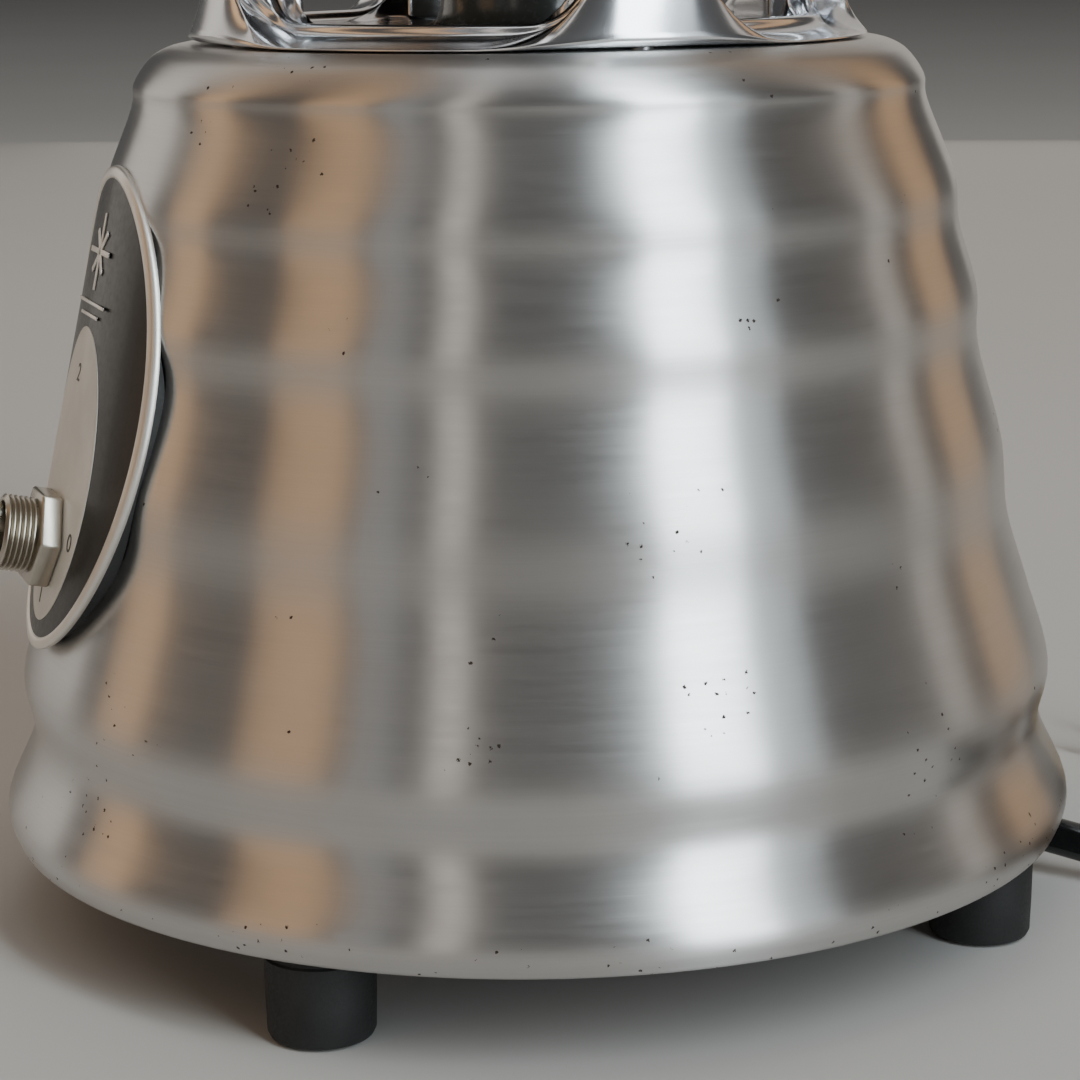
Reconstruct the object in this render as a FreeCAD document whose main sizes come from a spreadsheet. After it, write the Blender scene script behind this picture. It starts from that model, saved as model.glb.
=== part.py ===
"""Countertop blender: ribbed motor base, jar collar, glass jar, blades, lid and cord.

Millimetres, +Z up. The origin is on the blender's axis at the surface that its feet stand on.
The switch faces -Y, and the cord leaves at +Y, under the base.
"""
import FreeCAD
import Part
import Sketcher
import math
import os

Vector = FreeCAD.Vector
Rotation = FreeCAD.Rotation
DOC = FreeCAD.newDocument("countertop_blender")
SHEET = DOC.addObject("Spreadsheet::Sheet", "Sizes")

DIMENSIONS = {
    # feet and base plate
    "foot_height": 15.0, "foot_radius": 8.0, "foot_flare": 0.4, "foot_circle": 76.8,
    "stem_radius": 3.0, "stem_button": 4.2, "stem_tip": 3.0,
    "plate_thickness": 2.2, "rim_drop": 0.7, "rim_tuck": 0.9,
    "edge_gap": 0.5, "seat_gap": 0.3, "hole_gap": 0.2,
    "vent_length": 13.0, "vent_width": 3.4, "vent_circle": 30.0,
    # shell
    "shell_radius": 87.7, "shell_height": 125.1, "shell_wall": 1.2, "shell_mouth": 38.0,
    # jar collar
    "collar_flare": 3.2, "collar_edge": 0.9, "lip_step": 2.0, "lip_height": 3.9, "lip_slope": 0.8,
    "lip_foot": 5.0, "lip_half": 1.0, "well_step": 2.5, "well_floor": 1.8, "hub_radius": 14.0,
    "hub_height": 10.6, "hub_fillet": 3.0, "post_gap": 0.6, "post_depth": 8.8, "post_width": 16.4,
    "post_height": 33.0, "ledge_reach": 3.2, "ledge_height": 11.1, "shoulder_land": 1.1,
    # screws and bolts
    "screw_radius": 2.0, "screw_head": 3.9, "screw_head_height": 3.0,
    "collar_screw_bite": 13.0,
    "bolt_offset": 35.8, "standoff_x": 27.0, "standoff_y": 34.0, "standoff_radius": 4.5,
    # motor
    "bracket_land": 8.0, "bracket_flat": 3.4, "lower_bracket_radius": 57.0, "lower_bracket_half": 42.0,
    "bracket_thickness": 4.0, "bearing_radius": 9.0, "bearing_height": 7.0,
    "boss_wall": 4.0, "shaft_radius": 4.0, "running_gap": 0.05, "leg_radius": 4.0,
    "upper_leg": 20.0, "coil_gap": 1.6, "pocket_gap": 0.1,
    "stack_height": 36.0, "stack_width": 84.0, "lower_leg": 28.0,
    "armature_radius": 25.4, "air_gap": 0.6, "winding_radius": 21.0, "winding_overhang": 8.0,
    "slot_count": 12, "slot_width": 4.0, "slot_depth": 7.0,
    "coil_depth": 10.0, "coil_width": 10.0, "pole_width": 43.0,
    "commutator_radius": 11.0, "commutator_height": 13.0,
    "fan_radius": 38.0, "fan_height": 12.0, "fan_hub": 7.5, "fan_blade": 1.6, "fan_blades": 10,
    "brush_width": 6.0, "brush_length": 18.0, "holder_wall": 1.6, "holder_length": 24.0,
    "brush_spring_radius": 2.4, "spring_wire": 0.5,
    # drive
    "stud_flats": 9.0, "stud_height": 8.0, "socket_gap": 0.4, "socket_radius": 10.0,
    # switch and badge
    "switch_height": 65.0, "badge_height": 85.0, "badge_half_width": 27.0, "badge_half_height": 37.0,
    "badge_thickness": 0.8, "badge_border": 1.9, "badge_recess": 0.3, "badge_low": 50.0,
    "badge_high": 125.0, "badge_low_proud": 2.25, "badge_high_proud": 2.25, "badge_gasket_inset": 0.9,
    "bushing_radius": 5.95, "bushing_proud": 8.4, "bushing_bore": 5.0, "hex_wall": 1.2,
    "nut_height": 3.4, "switch_depth": 20.0, "switch_width": 17.0, "switch_length": 29.0,
    "switch_set_back": 7.5, "lever_radius": 2.4, "lever_tip_radius": 3.1, "lever_length": 24.2,
    "lever_ball": 4.6, "lever_pivot": 9.0, "lever_tilt": 14.0, "pivot_radius": 1.0, "pivot_half": 5.6,
    "pivot_gap": 0.1, "bore_depth": 5.4, "washer_width": 3.5, "washer_thickness": 1.0, "nut_seat": 0.05,
    "tab_thickness": 0.8, "tab_length": 7.0, "tab_spacing": 9.0, "diode_radius": 2.6, "diode_length": 7.6,
    # jar
    "nut_radius": 41.4, "nut_floor": 3.0, "nut_floor_bore": 27.0, "nut_wall": 2.9, "nut_skirt": 23.5,
    "nut_band": 11.0, "nut_band_proud": 5.1, "flange_gap": 2.5, "flange_thickness": 2.0,
    "gasket_thickness": 2.4, "gasket_width": 4.5, "thread_gap": 0.5,
    "glass_wall": 4.0, "jar_neck": 28.0, "jar_shoulder": 14.0,
    "jar_swell": 8.0, "jar_top_radius": 56.5, "jar_height": 188.0,
    "jar_lip": 1.8, "handle_reach": 101.4, "handle_thickness": 13.0, "handle_width": 19.0,
    "handle_low": 58.0, "handle_high": 168.0, "spout_proud": 9.0, "spout_drop": 34.0,
    "spindle_radius": 3.0, "bushing_wall": 2.4, "cap_nut_flats": 10.0,
    "dome_radius": 12.4, "dome_height": 12.0,
    "blade_thickness": 1.5, "blade_reach": 28.0, "blade_width": 11.0,
    # lid and filler cap
    "lid_gap": 0.4, "lid_plug": 13.0, "lid_wall": 2.4, "lid_flange": 60.0, "lid_thickness": 3.6,
    "lid_hole": 21.5, "lid_collar": 6.0, "cap_gap": 0.5, "cap_wall": 2.0, "cap_depth": 22.0,
    "cap_flange": 26.5, "cap_top": 3.0,
    # cord
    "cord_diameter": 6.2, "gland_y": 50.0, "gland_radius": 7.5, "gland_drop": 9.6, "gland_groove": 2.0,
    "relief_radius": 4.9, "relief_tip": 0.5, "relief_height": 9.6, "plug_rounding": 4.0,
    "coil_radius": 34.0, "plug_length": 26.0, "plug_width": 21.0, "plug_height": 13.0,
    "blade_gauge": 1.5, "prong_width": 6.3, "prong_length": 16.0, "prong_spacing": 12.7,
}


class Size:
    """A length that carries both its value and its formula in the sheet."""

    def __init__(self, formula, number):
        self.formula = formula
        self.number = float(number)

    def joined(self, sign, other, number):
        return Size(f"({self.formula} {sign} {formula_of(other)})", number)

    def __add__(self, other):
        return self.joined("+", other, self.number + number_of(other))

    def __sub__(self, other):
        return self.joined("-", other, self.number - number_of(other))

    def __mul__(self, other):
        return self.joined("*", other, self.number * number_of(other))

    def __truediv__(self, other):
        return self.joined("/", other, self.number / number_of(other))

    def __neg__(self):
        return Size(f"(0 - {self.formula})", -self.number)

    def __radd__(self, other):
        return self + other

    def __rsub__(self, other):
        return -self + other

    def __rmul__(self, other):
        return self * other


def number_of(value):
    return value.number if isinstance(value, Size) else float(value)


def formula_of(value):
    return value.formula if isinstance(value, Size) else f"{float(value)}"


class Dimensions:
    """Every driving dimension, by its name in the sheet."""

    def __init__(self, table):
        for row, (name, value) in enumerate(table.items(), 1):
            SHEET.set(f"A{row}", name)
            SHEET.set(f"B{row}", f"{value}")
            SHEET.setAlias(f"B{row}", name)
        DOC.recompute()
        for name in table:
            setattr(self, name, Size(f"Sizes.{name}", SHEET.get(name)))


D = Dimensions(DIMENSIONS)


# ---- ways of making a piece ------------------------------------------------------------------------

def bind(item, **values):
    """Bind each named property of an object to its formula."""
    for name, value in values.items():
        item.setExpression(name, formula_of(value))
    return item


def put(item, x=0, y=0, z=0, axis=(0, 0, 1), angle=0):
    """Place an object: a turn about an axis, and a position bound to the sheet."""
    item.Placement = FreeCAD.Placement(
        Vector(number_of(x), number_of(y), number_of(z)), Rotation(Vector(*axis), number_of(angle)))
    for letter, value in zip("xyz", (x, y, z)):
        if isinstance(value, Size):
            item.setExpression(f"Placement.Base.{letter}", value.formula)
    return item


def cylinder(label, radius, low, high, x=0, y=0):
    item = DOC.addObject("Part::Cylinder", label)
    bind(item, Radius=radius, Height=high - low)
    return put(item, x, y, low)


def block(label, x, y, z):
    """A box between two values along each axis."""
    item = DOC.addObject("Part::Box", label)
    bind(item, Length=x[1] - x[0], Width=y[1] - y[0], Height=z[1] - z[0])
    return put(item, x[0], y[0], z[0])


def prism(label, sides, flats, low, high):
    """A prism with so many sides and a distance across its flats."""
    item = DOC.addObject("Part::Prism", label)
    item.Polygon = sides
    bind(item, Circumradius=flats / (2 * math.cos(math.pi / sides)), Height=high - low)
    return put(item, z=low)


def joined(label, *items):
    item = DOC.addObject("Part::MultiFuse", label)
    item.Shapes = list(items)
    item.Refine = True
    return item


def cut(label, base, *tools):
    item = DOC.addObject("Part::Cut", label)
    item.Base = base
    item.Tool = tools[0] if len(tools) == 1 else joined(label + "_tools", *tools)
    item.Refine = True
    return item


def common(label, base, tool):
    item = DOC.addObject("Part::Common", label)
    item.Base, item.Tool = base, tool
    return item


def group(label, *items):
    item = DOC.addObject("Part::Compound", label)
    item.Links = list(items)
    return item


def ring(label, inner, outer, low, high, x=0, y=0):
    return cut(label, cylinder(label + "_outside", outer, low, high, x, y),
               cylinder(label + "_inside", inner, low - 1, high + 1, x, y))


def made(label, shape):
    """A piece whose shape is worked out here from the sheet's values."""
    item = DOC.addObject("Part::Feature", label)
    item.Shape = shape
    return item


def origin_plane(body, role):
    return next(plane for plane in body.Origin.OriginFeatures if plane.Role == role)


def sketch_on(body, role, label):
    sketch = body.newObject("Sketcher::SketchObject", label)
    sketch.AttachmentSupport = [(origin_plane(body, role), "")]
    sketch.MapMode = "FlatFace"
    return sketch


def pin(sketch, kind, line, value):
    """Hold the start of a line at a distance from the sketch's origin."""
    if number_of(value) == 0:
        axis = -2 if kind == "DistanceX" else -1
        sketch.addConstraint(Sketcher.Constraint("PointOnObject", line, 1, axis))
        return
    index = sketch.addConstraint(Sketcher.Constraint(kind, -1, 1, line, 1, number_of(value)))
    sketch.setExpression(f"Constraints[{index}]", formula_of(value))


def draw_outline(sketch, points):
    """Draw a closed outline of straight lines, with each corner bound to the sheet."""
    corners = [Vector(number_of(a), number_of(b), 0) for a, b in points]
    first = sketch.GeometryCount
    for here, there in zip(corners, corners[1:] + corners[:1]):
        sketch.addGeometry(Part.LineSegment(here, there), False)
    for line in range(len(corners)):
        after = (line + 1) % len(corners)
        sketch.addConstraint(Sketcher.Constraint("Coincident", first + line, 2, first + after, 1))
    for line, (a, b) in enumerate(points):
        pin(sketch, "DistanceX", first + line, a)
        pin(sketch, "DistanceY", first + line, b)


def turned(label, outline, rounding=None):
    """A body turned about Z from an outline of (radius, height) corners.

    rounding maps a fillet radius to the (radius, height) corners that it rounds.
    """
    body = DOC.addObject("PartDesign::Body", label)
    sketch = sketch_on(body, "XZ_Plane", label + "_outline")
    draw_outline(sketch, outline)
    turn = body.newObject("PartDesign::Revolution", label + "_turn")
    turn.Profile = sketch
    turn.ReferenceAxis = (sketch, ["V_Axis"])
    turn.Angle = 360.0
    body.Tip = turn
    DOC.recompute()
    for size, corners in (rounding or {}).items():
        sharp = body.Tip
        names = [f"Edge{index}" for index, edge in enumerate(sharp.Shape.Edges, 1)
                 if any(is_rim(edge, *corner) for corner in corners)]
        fillet = body.newObject("PartDesign::Fillet", f"{label}_round_{len(body.Group)}")
        fillet.Base = (sharp, names)
        fillet.Radius = size
        body.Tip = fillet
        DOC.recompute()
    return body


def is_rim(edge, radius, height):
    """Whether an edge is the circle about Z with this radius and height."""
    curve = edge.Curve
    return (isinstance(curve, Part.Circle) and abs(curve.Radius - number_of(radius)) < 0.01
            and abs(curve.Center.z - number_of(height)) < 0.01
            and math.hypot(curve.Center.x, curve.Center.y) < 0.01)


def patterned(body, cutter_label, draw, depth, count):
    """Cut a sketch through a body and repeat the cut around Z."""
    sketch = sketch_on(body, "XY_Plane", cutter_label + "_outline")
    draw(sketch)
    pocket = body.newObject("PartDesign::Pocket", cutter_label)
    pocket.Profile = sketch
    pocket.Reversed = True
    pocket.setExpression("Length", formula_of(depth))
    DOC.recompute()
    pattern = body.newObject("PartDesign::PolarPattern", cutter_label + "_pattern")
    pattern.Originals = [pocket]
    pattern.Axis = (sketch, ["N_Axis"])
    pattern.Angle = 360
    pattern.setExpression("Occurrences", formula_of(count))
    body.Tip = pattern
    DOC.recompute()


def around(count, start=0.0):
    """Directions evenly spaced around Z, as (cosine, sine) pairs."""
    for index in range(count):
        angle = math.radians(start + 360.0 * index / count)
        yield round(math.cos(angle), 9), round(math.sin(angle), 9)


def tube_path(points, closing=0.45):
    """A path of straight runs and tangent arcs through points, with each arc's radius."""
    corners = [Vector(*point) for point in points]
    edges, radii = [], []
    start = corners[0]
    for before, here, after in zip(corners, corners[1:], corners[2:]):
        entering, leaving = here - before, after - here
        half_turn = entering.getAngle(leaving) / 2
        reach = closing * min(entering.Length, leaving.Length)
        radii.append(reach / math.tan(half_turn))
        entering.normalize()
        leaving.normalize()
        first, last = here - entering * reach, here + leaving * reach
        inward = (leaving - entering).normalize()
        middle = here + inward * (radii[-1] / math.cos(half_turn) - radii[-1])
        edges += [Part.LineSegment(start, first).toShape(), Part.Arc(first, middle, last).toShape()]
        start = last
    edges.append(Part.LineSegment(start, corners[-1]).toShape())
    return Part.Wire(edges), radii


def tube(points, diameter):
    """A round tube along a path, with its arc radii."""
    path, radii = tube_path(points)
    first = path.Edges[0]
    section = Part.Wire(Part.makeCircle(diameter / 2, first.valueAt(first.FirstParameter),
                                        first.tangentAt(first.FirstParameter)))
    shape = path.makePipeShell([section], True, False)
    drawn = path.Length * math.pi * diameter ** 2 / 4
    if abs(shape.Volume - drawn) > 0.01 * drawn:
        raise ValueError(f"a tube holds {shape.Volume:.0f} mm3, not {drawn:.0f}")
    return shape, radii, path.Length


# ---- sizes that several pieces share ---------------------------------------------------------------

# The collar's posts stand round the jar's nut, and the shell's shoulder carries the collar.
post_inner = D.nut_radius + D.post_gap
post_outer = post_inner + D.post_depth
collar_radius = post_outer + D.collar_flare
lip_radius = post_inner + D.lip_step
collar_screw_circle = post_inner + D.post_depth / 2
shoulder_radius = collar_radius + D.shoulder_land

plate_low = D.foot_height
plate_high = plate_low + D.plate_thickness
rim = D.foot_height - D.rim_drop
shell_top = rim + D.shell_height
seat = shell_top + D.ledge_height
hub_top = shell_top + D.hub_height
upper_bracket_high = shell_top - D.shell_wall
upper_bracket_low = upper_bracket_high - D.bracket_thickness
stack_high = upper_bracket_low - D.upper_leg
stack_low = stack_high - D.stack_height
lower_bracket_high = stack_low - D.lower_leg
lower_bracket_low = lower_bracket_high - D.bracket_thickness


# ---- shell -----------------------------------------------------------------------------------------

# Each pair is a share of the shell's height and a step in from its largest radius, from the rim up:
# the bottom flare, then a groove and a crest for each rib, and the shoulder. The steps are those of a
# shell that narrows by the last one, and are scaled to the narrowing between flare and shoulder.
RIBS = ((0.0, D.rim_tuck.number), (0.039, 0.0), (0.129, 4.7), (0.205, 3.5), (0.303, 7.1),
        (0.397, 10.6), (0.493, 11.8), (0.613, 15.8), (0.685, 16.2), (0.769, 19.2), (0.829, 20.0),
        (0.921, 24.5), (0.953, 25.1), (0.982, 27.6), (0.995, 30.2), (1.0, 32.6))
step_scale = (D.shell_radius - shoulder_radius) / RIBS[-1][1]


def shell_point(share, step):
    return Vector(D.shell_radius.number - step * step_scale.number, 0,
                  rim.number + share * D.shell_height.number)


def shell_curve(offset=0.0):
    """The ribbed outline, moved inwards by an offset."""
    curve = Part.BSplineCurve()
    points = [shell_point(*rib) for rib in RIBS]
    curve.interpolate(Points=points)
    if not offset:
        return curve.toShape()
    moved = []
    for point in points:
        along = curve.tangent(curve.parameter(point))[0]
        moved.append(point + Vector(-along.z, 0, along.x) * offset)
    moved[0].z = rim.number
    moved[-1].z = shell_top.number - offset
    inner = Part.BSplineCurve()
    inner.interpolate(Points=moved)
    return inner.toShape()


def shell_radius_at(height):
    """The shell's outer radius at a height."""
    level = Part.LineSegment(Vector(20, 0, height), Vector(120, 0, height)).toShape()
    return level.distToShape(shell_curve())[1][0][1].x


def turned_face(edges):
    return Part.Face(Part.Wire(Part.sortEdges(edges)[0])).revolve(Vector(), Vector(0, 0, 1), 360)


def corner_lines(points):
    """Straight edges between (radius, height) corners, leaving out any that has no length."""
    corners = [Vector(radius, 0, height) for radius, height in points]
    return [Part.LineSegment(a, b).toShape() for a, b in zip(corners, corners[1:])
            if a.distanceToPoint(b) > 1e-6]


def shell_solid():
    outer, inner = shell_curve(), shell_curve(D.shell_wall.number)
    mouth, top = D.shell_mouth.number, shell_top.number
    under = top - D.shell_wall.number
    outer_end, inner_end = outer.valueAt(outer.LastParameter), inner.valueAt(inner.LastParameter)
    outer_start, inner_start = outer.valueAt(outer.FirstParameter), inner.valueAt(inner.FirstParameter)
    closing = corner_lines([(outer_end.x, top), (mouth, top), (mouth, under), (inner_end.x, under)])
    foot = corner_lines([(outer_start.x, outer_start.z), (inner_start.x, inner_start.z)])
    return turned_face([outer, inner] + closing + foot)


def ribbed_core(grow=0.0):
    """The whole volume inside the shell's outer surface, grown by a little."""
    outer = shell_curve(-grow)
    high, low = outer.valueAt(outer.LastParameter), outer.valueAt(outer.FirstParameter)
    return turned_face([outer] + corner_lines([(high.x, high.z), (0, high.z), (0, low.z), (low.x, low.z)]))


# The badge's front is part of a cone, so its slope and its distance from the axis follow the shell.
BADGE_LOW_R = shell_radius_at(D.badge_low.number) + D.badge_low_proud.number
BADGE_HIGH_R = shell_radius_at(D.badge_high.number) + D.badge_high_proud.number
BADGE_RUN = D.badge_high.number - D.badge_low.number
BADGE_SLOPE = math.degrees(math.atan((BADGE_LOW_R - BADGE_HIGH_R) / BADGE_RUN))


def badge_radius(height):
    share = (height - D.badge_low.number) / BADGE_RUN
    return BADGE_LOW_R + (BADGE_HIGH_R - BADGE_LOW_R) * share


def badge_cone(depth):
    """A solid cone whose surface lies this deep below the badge's front."""
    low, high = D.badge_low.number - 8, D.badge_high.number + 8
    return Part.makeCone(badge_radius(low) - depth, badge_radius(high) - depth, high - low,
                         Vector(0, 0, low))


def badge_oval(inset):
    """An upright oval prism that cuts the badge's outline out of the cone, on the switch's side."""
    half_height, half_width = (D.badge_half_height.number - inset, D.badge_half_width.number - inset)
    face = Part.Face(Part.Wire(Part.Ellipse(Vector(), half_height, half_width).toShape()))
    face.Placement = FreeCAD.Placement(Vector(0, 0, D.badge_height.number),
                                       Rotation(Vector(0, 0, 1), Vector(1, 0, 0), Vector(0, 1, 0)))
    return face.extrude(Vector(0, -120, 0))


# The switch's own frame has its Z along the bushing, out of the badge's face.
SWITCH_BASE = Vector(0, -(badge_radius(D.switch_height.number) - D.badge_recess.number),
                     D.switch_height.number)
SWITCH_TURN = 90.0 - BADGE_SLOPE


def on_switch(item, out=0.0, tilt=0.0, sideways=0.0):
    """Place an object in the switch's frame, so far out along the bushing."""
    outward = Rotation(Vector(1, 0, 0), SWITCH_TURN).multVec(Vector(0, 0, 1))
    item.Placement = FreeCAD.Placement(SWITCH_BASE + outward * out + Vector(sideways, 0, 0),
                                       Rotation(Vector(1, 0, 0), SWITCH_TURN - tilt))
    return item


def switch_bore(radius):
    bore = Part.makeCylinder(radius, 60, Vector(0, 0, -40))
    bore.Placement = FreeCAD.Placement(SWITCH_BASE, Rotation(Vector(1, 0, 0), SWITCH_TURN))
    return bore


def housing_shell():
    screw_hole = D.screw_radius.number + D.hole_gap.number
    holes = [switch_bore(D.bushing_radius.number + D.hole_gap.number)]
    for across, along in around(4):
        spot = Vector(across, along, 0) * collar_screw_circle.number
        holes.append(Part.makeCylinder(screw_hole, 20, spot + Vector(0, 0, shell_top.number - 10)))
    return made("housing_shell", shell_solid().cut(holes))


def badge_plate():
    body = badge_cone(0).cut(badge_cone(D.badge_thickness.number)).common(badge_oval(0))
    field = badge_cone(-1).cut(badge_cone(D.badge_recess.number)).common(
        badge_oval(D.badge_border.number))
    return made("badge_plate", body.cut([field, switch_bore(D.bushing_radius.number + D.hole_gap.number)]))


def badge_gasket():
    back = badge_cone(D.badge_thickness.number)
    filled = back.cut(ribbed_core(0.05)).common(badge_oval(D.badge_gasket_inset.number))
    cleared = filled.cut(switch_bore(D.bushing_radius.number + D.hole_gap.number))
    return made("badge_gasket", max(cleared.Solids, key=lambda solid: solid.Volume))


# ---- jar collar ------------------------------------------------------------------------------------

def jar_collar():
    edge = shell_top + D.collar_edge
    lip = shell_top + D.lip_height
    floor = shell_top + D.well_floor
    bore = D.shaft_radius + D.seat_gap
    base = turned("collar_base", [
        (bore, shell_top), (collar_radius, shell_top), (collar_radius, edge),
        (lip_radius + D.lip_foot, edge + D.lip_slope), (lip_radius + D.lip_half, lip),
        (lip_radius - D.lip_half, lip), (post_inner - D.well_step, floor),
        (D.hub_radius + D.hub_fillet, floor), (D.hub_radius, floor + D.hub_fillet),
        (D.hub_radius, hub_top), (bore, hub_top)],
        {1.6: [(D.hub_radius, hub_top)]})
    band = ring("post_band", post_inner, post_outer, edge - 0.5, shell_top + D.post_height)
    ledge = ring("ledge_band", post_inner - D.ledge_reach, post_inner + 1, edge - 0.5, seat)
    half = D.post_width / 2
    reach = post_outer + 2
    spread = (shell_top, shell_top + D.post_height + 1)
    cross = joined("post_cross", block("post_cross_x", (-reach, reach), (-half, half), spread),
                   block("post_cross_y", (-half, half), (-reach, reach), spread))
    posts = common("posts", joined("post_rings", band, ledge), cross)
    whole = joined("collar_casting", base, posts)
    hole = D.screw_radius + D.hole_gap
    holes = [cylinder(f"collar_hole_{index}", hole, shell_top - 1, shell_top + D.collar_screw_bite + 1,
                      collar_screw_circle * across, collar_screw_circle * along)
             for index, (across, along) in enumerate(around(4))]
    return cut("jar_collar", whole, *holes)


def screw(label, x, y, head_low, tip, up=True):
    """A pan-head screw: its head below a face and its shank up to its tip."""
    head = cylinder(label + "_head", D.screw_head, head_low, head_low + D.screw_head_height, x, y)
    shank = cylinder(label + "_shank", D.screw_radius, head_low + 1, tip, x, y)
    return joined(label, head, shank)


def corners_of(x, y):
    for sign_x in (1, -1):
        for sign_y in (1, -1):
            yield x * sign_x, y * sign_y


def collar_screws():
    low = upper_bracket_low - D.screw_head_height
    return group("collar_screws", *[
        screw(f"collar_screw_{index}", collar_screw_circle * across, collar_screw_circle * along,
              low, shell_top + D.collar_screw_bite)
        for index, (across, along) in enumerate(around(4))])


# ---- base plate and feet ---------------------------------------------------------------------------

def base_plate():
    radius = D.shell_radius - step_scale * D.rim_tuck - D.shell_wall - D.edge_gap
    body = turned("base_disc", [(0, plate_low), (radius, plate_low), (radius, plate_high), (0, plate_high)])

    def vent(sketch):
        half = D.vent_width / 2
        draw_outline(sketch, [(D.vent_circle, -half), (D.vent_circle + D.vent_length, -half),
                              (D.vent_circle + D.vent_length, half), (D.vent_circle, half)])

    patterned(body, "vent_slot", vent, plate_high + 5, 12)
    holes = [cylinder(f"stem_hole_{index}", D.stem_radius + D.hole_gap, plate_low - 1, plate_high + 1,
                      D.foot_circle * across, D.foot_circle * along)
             for index, (across, along) in enumerate(around(4, 45))]
    holes += [cylinder(f"base_screw_hole_{index}", D.screw_radius + D.hole_gap, plate_low - 1,
                       plate_high + 1, x, y)
              for index, (x, y) in enumerate(corners_of(D.standoff_x, D.standoff_y))]
    holes.append(cylinder("gland_hole", D.gland_radius - D.gland_groove + D.hole_gap, plate_low - 1,
                          plate_high + 1, 0, D.gland_y))
    return cut("base_plate", body, *holes)


def rubber_foot(label, across, along):
    """A tapered foot with a stem through the plate and a button above it."""
    body = turned(label, [
        (0, 0), (D.foot_radius, 0), (D.foot_radius + D.foot_flare, plate_low), (D.stem_radius, plate_low),
        (D.stem_radius, plate_high), (D.stem_button, plate_high),
        (D.stem_radius, plate_high + D.stem_tip), (0, plate_high + D.stem_tip)], {1.0: [(D.foot_radius, 0)]})
    return put(body, D.foot_circle * across, D.foot_circle * along)


def base_screws():
    low = plate_low - D.screw_head_height
    return group("base_screws", *[
        screw(f"base_screw_{index}", x, y, low, plate_high + 12)
        for index, (x, y) in enumerate(corners_of(D.standoff_x, D.standoff_y))])


def standoffs():
    return group("standoffs", *[
        ring(f"standoff_{index}", D.screw_radius + D.hole_gap, D.standoff_radius, plate_high,
             lower_bracket_low, x, y)
        for index, (x, y) in enumerate(corners_of(D.standoff_x, D.standoff_y))])


# ---- motor -----------------------------------------------------------------------------------------

def bearing_boss(label, low, high):
    return cylinder(label, D.bearing_radius + D.boss_wall, low, high)


def bracket_plate(label, radius, half, low, high):
    """A round plate with four flats."""
    return common(f"{label}_plate", cylinder(f"{label}_disc", radius, low, high),
                  block(f"{label}_flats", (-half, half), (-half, half), (low, high)))


def upper_motor_bracket():
    boss_low = upper_bracket_low - D.bearing_height
    radius = collar_screw_circle + D.bracket_land
    pieces = [bracket_plate("upper", radius, radius - D.bracket_flat, upper_bracket_low,
                            upper_bracket_high),
              bearing_boss("upper_boss", boss_low, upper_bracket_high)]
    holes = [cylinder("upper_pocket", D.bearing_radius + D.pocket_gap, boss_low - 1, upper_bracket_low),
             cylinder("upper_shaft_hole", D.shaft_radius + 1, boss_low, upper_bracket_high + 1)]
    for index, (x, y) in enumerate(corners_of(D.bolt_offset, D.bolt_offset)):
        pieces.append(cylinder(f"upper_leg_{index}", D.leg_radius, stack_high, upper_bracket_low, x, y))
        holes.append(cylinder(f"upper_bolt_hole_{index}", D.screw_radius + D.hole_gap, stack_high - 1,
                              upper_bracket_high + 1, x, y))
    for index, (across, along) in enumerate(around(4)):
        holes.append(cylinder(f"upper_screw_hole_{index}", D.screw_radius + D.hole_gap,
                              upper_bracket_low - 1, upper_bracket_high + 1,
                              collar_screw_circle * across, collar_screw_circle * along))
    return cut("upper_motor_bracket", joined("upper_casting", *pieces), *holes)


holder_half = (D.brush_width + 0.4) / 2 + D.holder_wall
brush_height = lower_bracket_high + D.bearing_height + 6.0
holder_start = D.commutator_radius + 2.5


def lower_motor_bracket():
    boss_low = lower_bracket_high - D.bearing_height
    pieces = [bracket_plate("lower", D.lower_bracket_radius, D.lower_bracket_half, lower_bracket_low,
                            lower_bracket_high),
              bearing_boss("lower_boss", boss_low, lower_bracket_high)]
    holes = [cylinder("lower_pocket", D.bearing_radius + D.pocket_gap, boss_low - 1,
                      lower_bracket_high + 1)]
    for index, (x, y) in enumerate(corners_of(D.bolt_offset, D.bolt_offset)):
        pieces.append(cylinder(f"lower_leg_{index}", D.leg_radius, lower_bracket_high, stack_low, x, y))
        holes.append(cylinder(f"lower_bolt_hole_{index}", D.screw_radius + D.hole_gap,
                              lower_bracket_low - 1, stack_low + 1, x, y))
    for index, (x, y) in enumerate(corners_of(D.standoff_x, D.standoff_y)):
        holes.append(cylinder(f"lower_standoff_hole_{index}", D.screw_radius + D.hole_gap,
                              lower_bracket_low - 1, lower_bracket_high + 1, x, y))
    for side in (1, -1):
        ends = sorted((holder_start * side + 2 * side, (holder_start + D.holder_length) * side),
                      key=number_of)
        pieces.append(block(f"brush_pad_{side + 1}", ends, (-holder_half, holder_half),
                            (lower_bracket_high, brush_height - holder_half)))
    return cut("lower_motor_bracket", joined("lower_casting", *pieces), *holes)


coil_near = D.armature_radius + D.coil_gap


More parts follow.
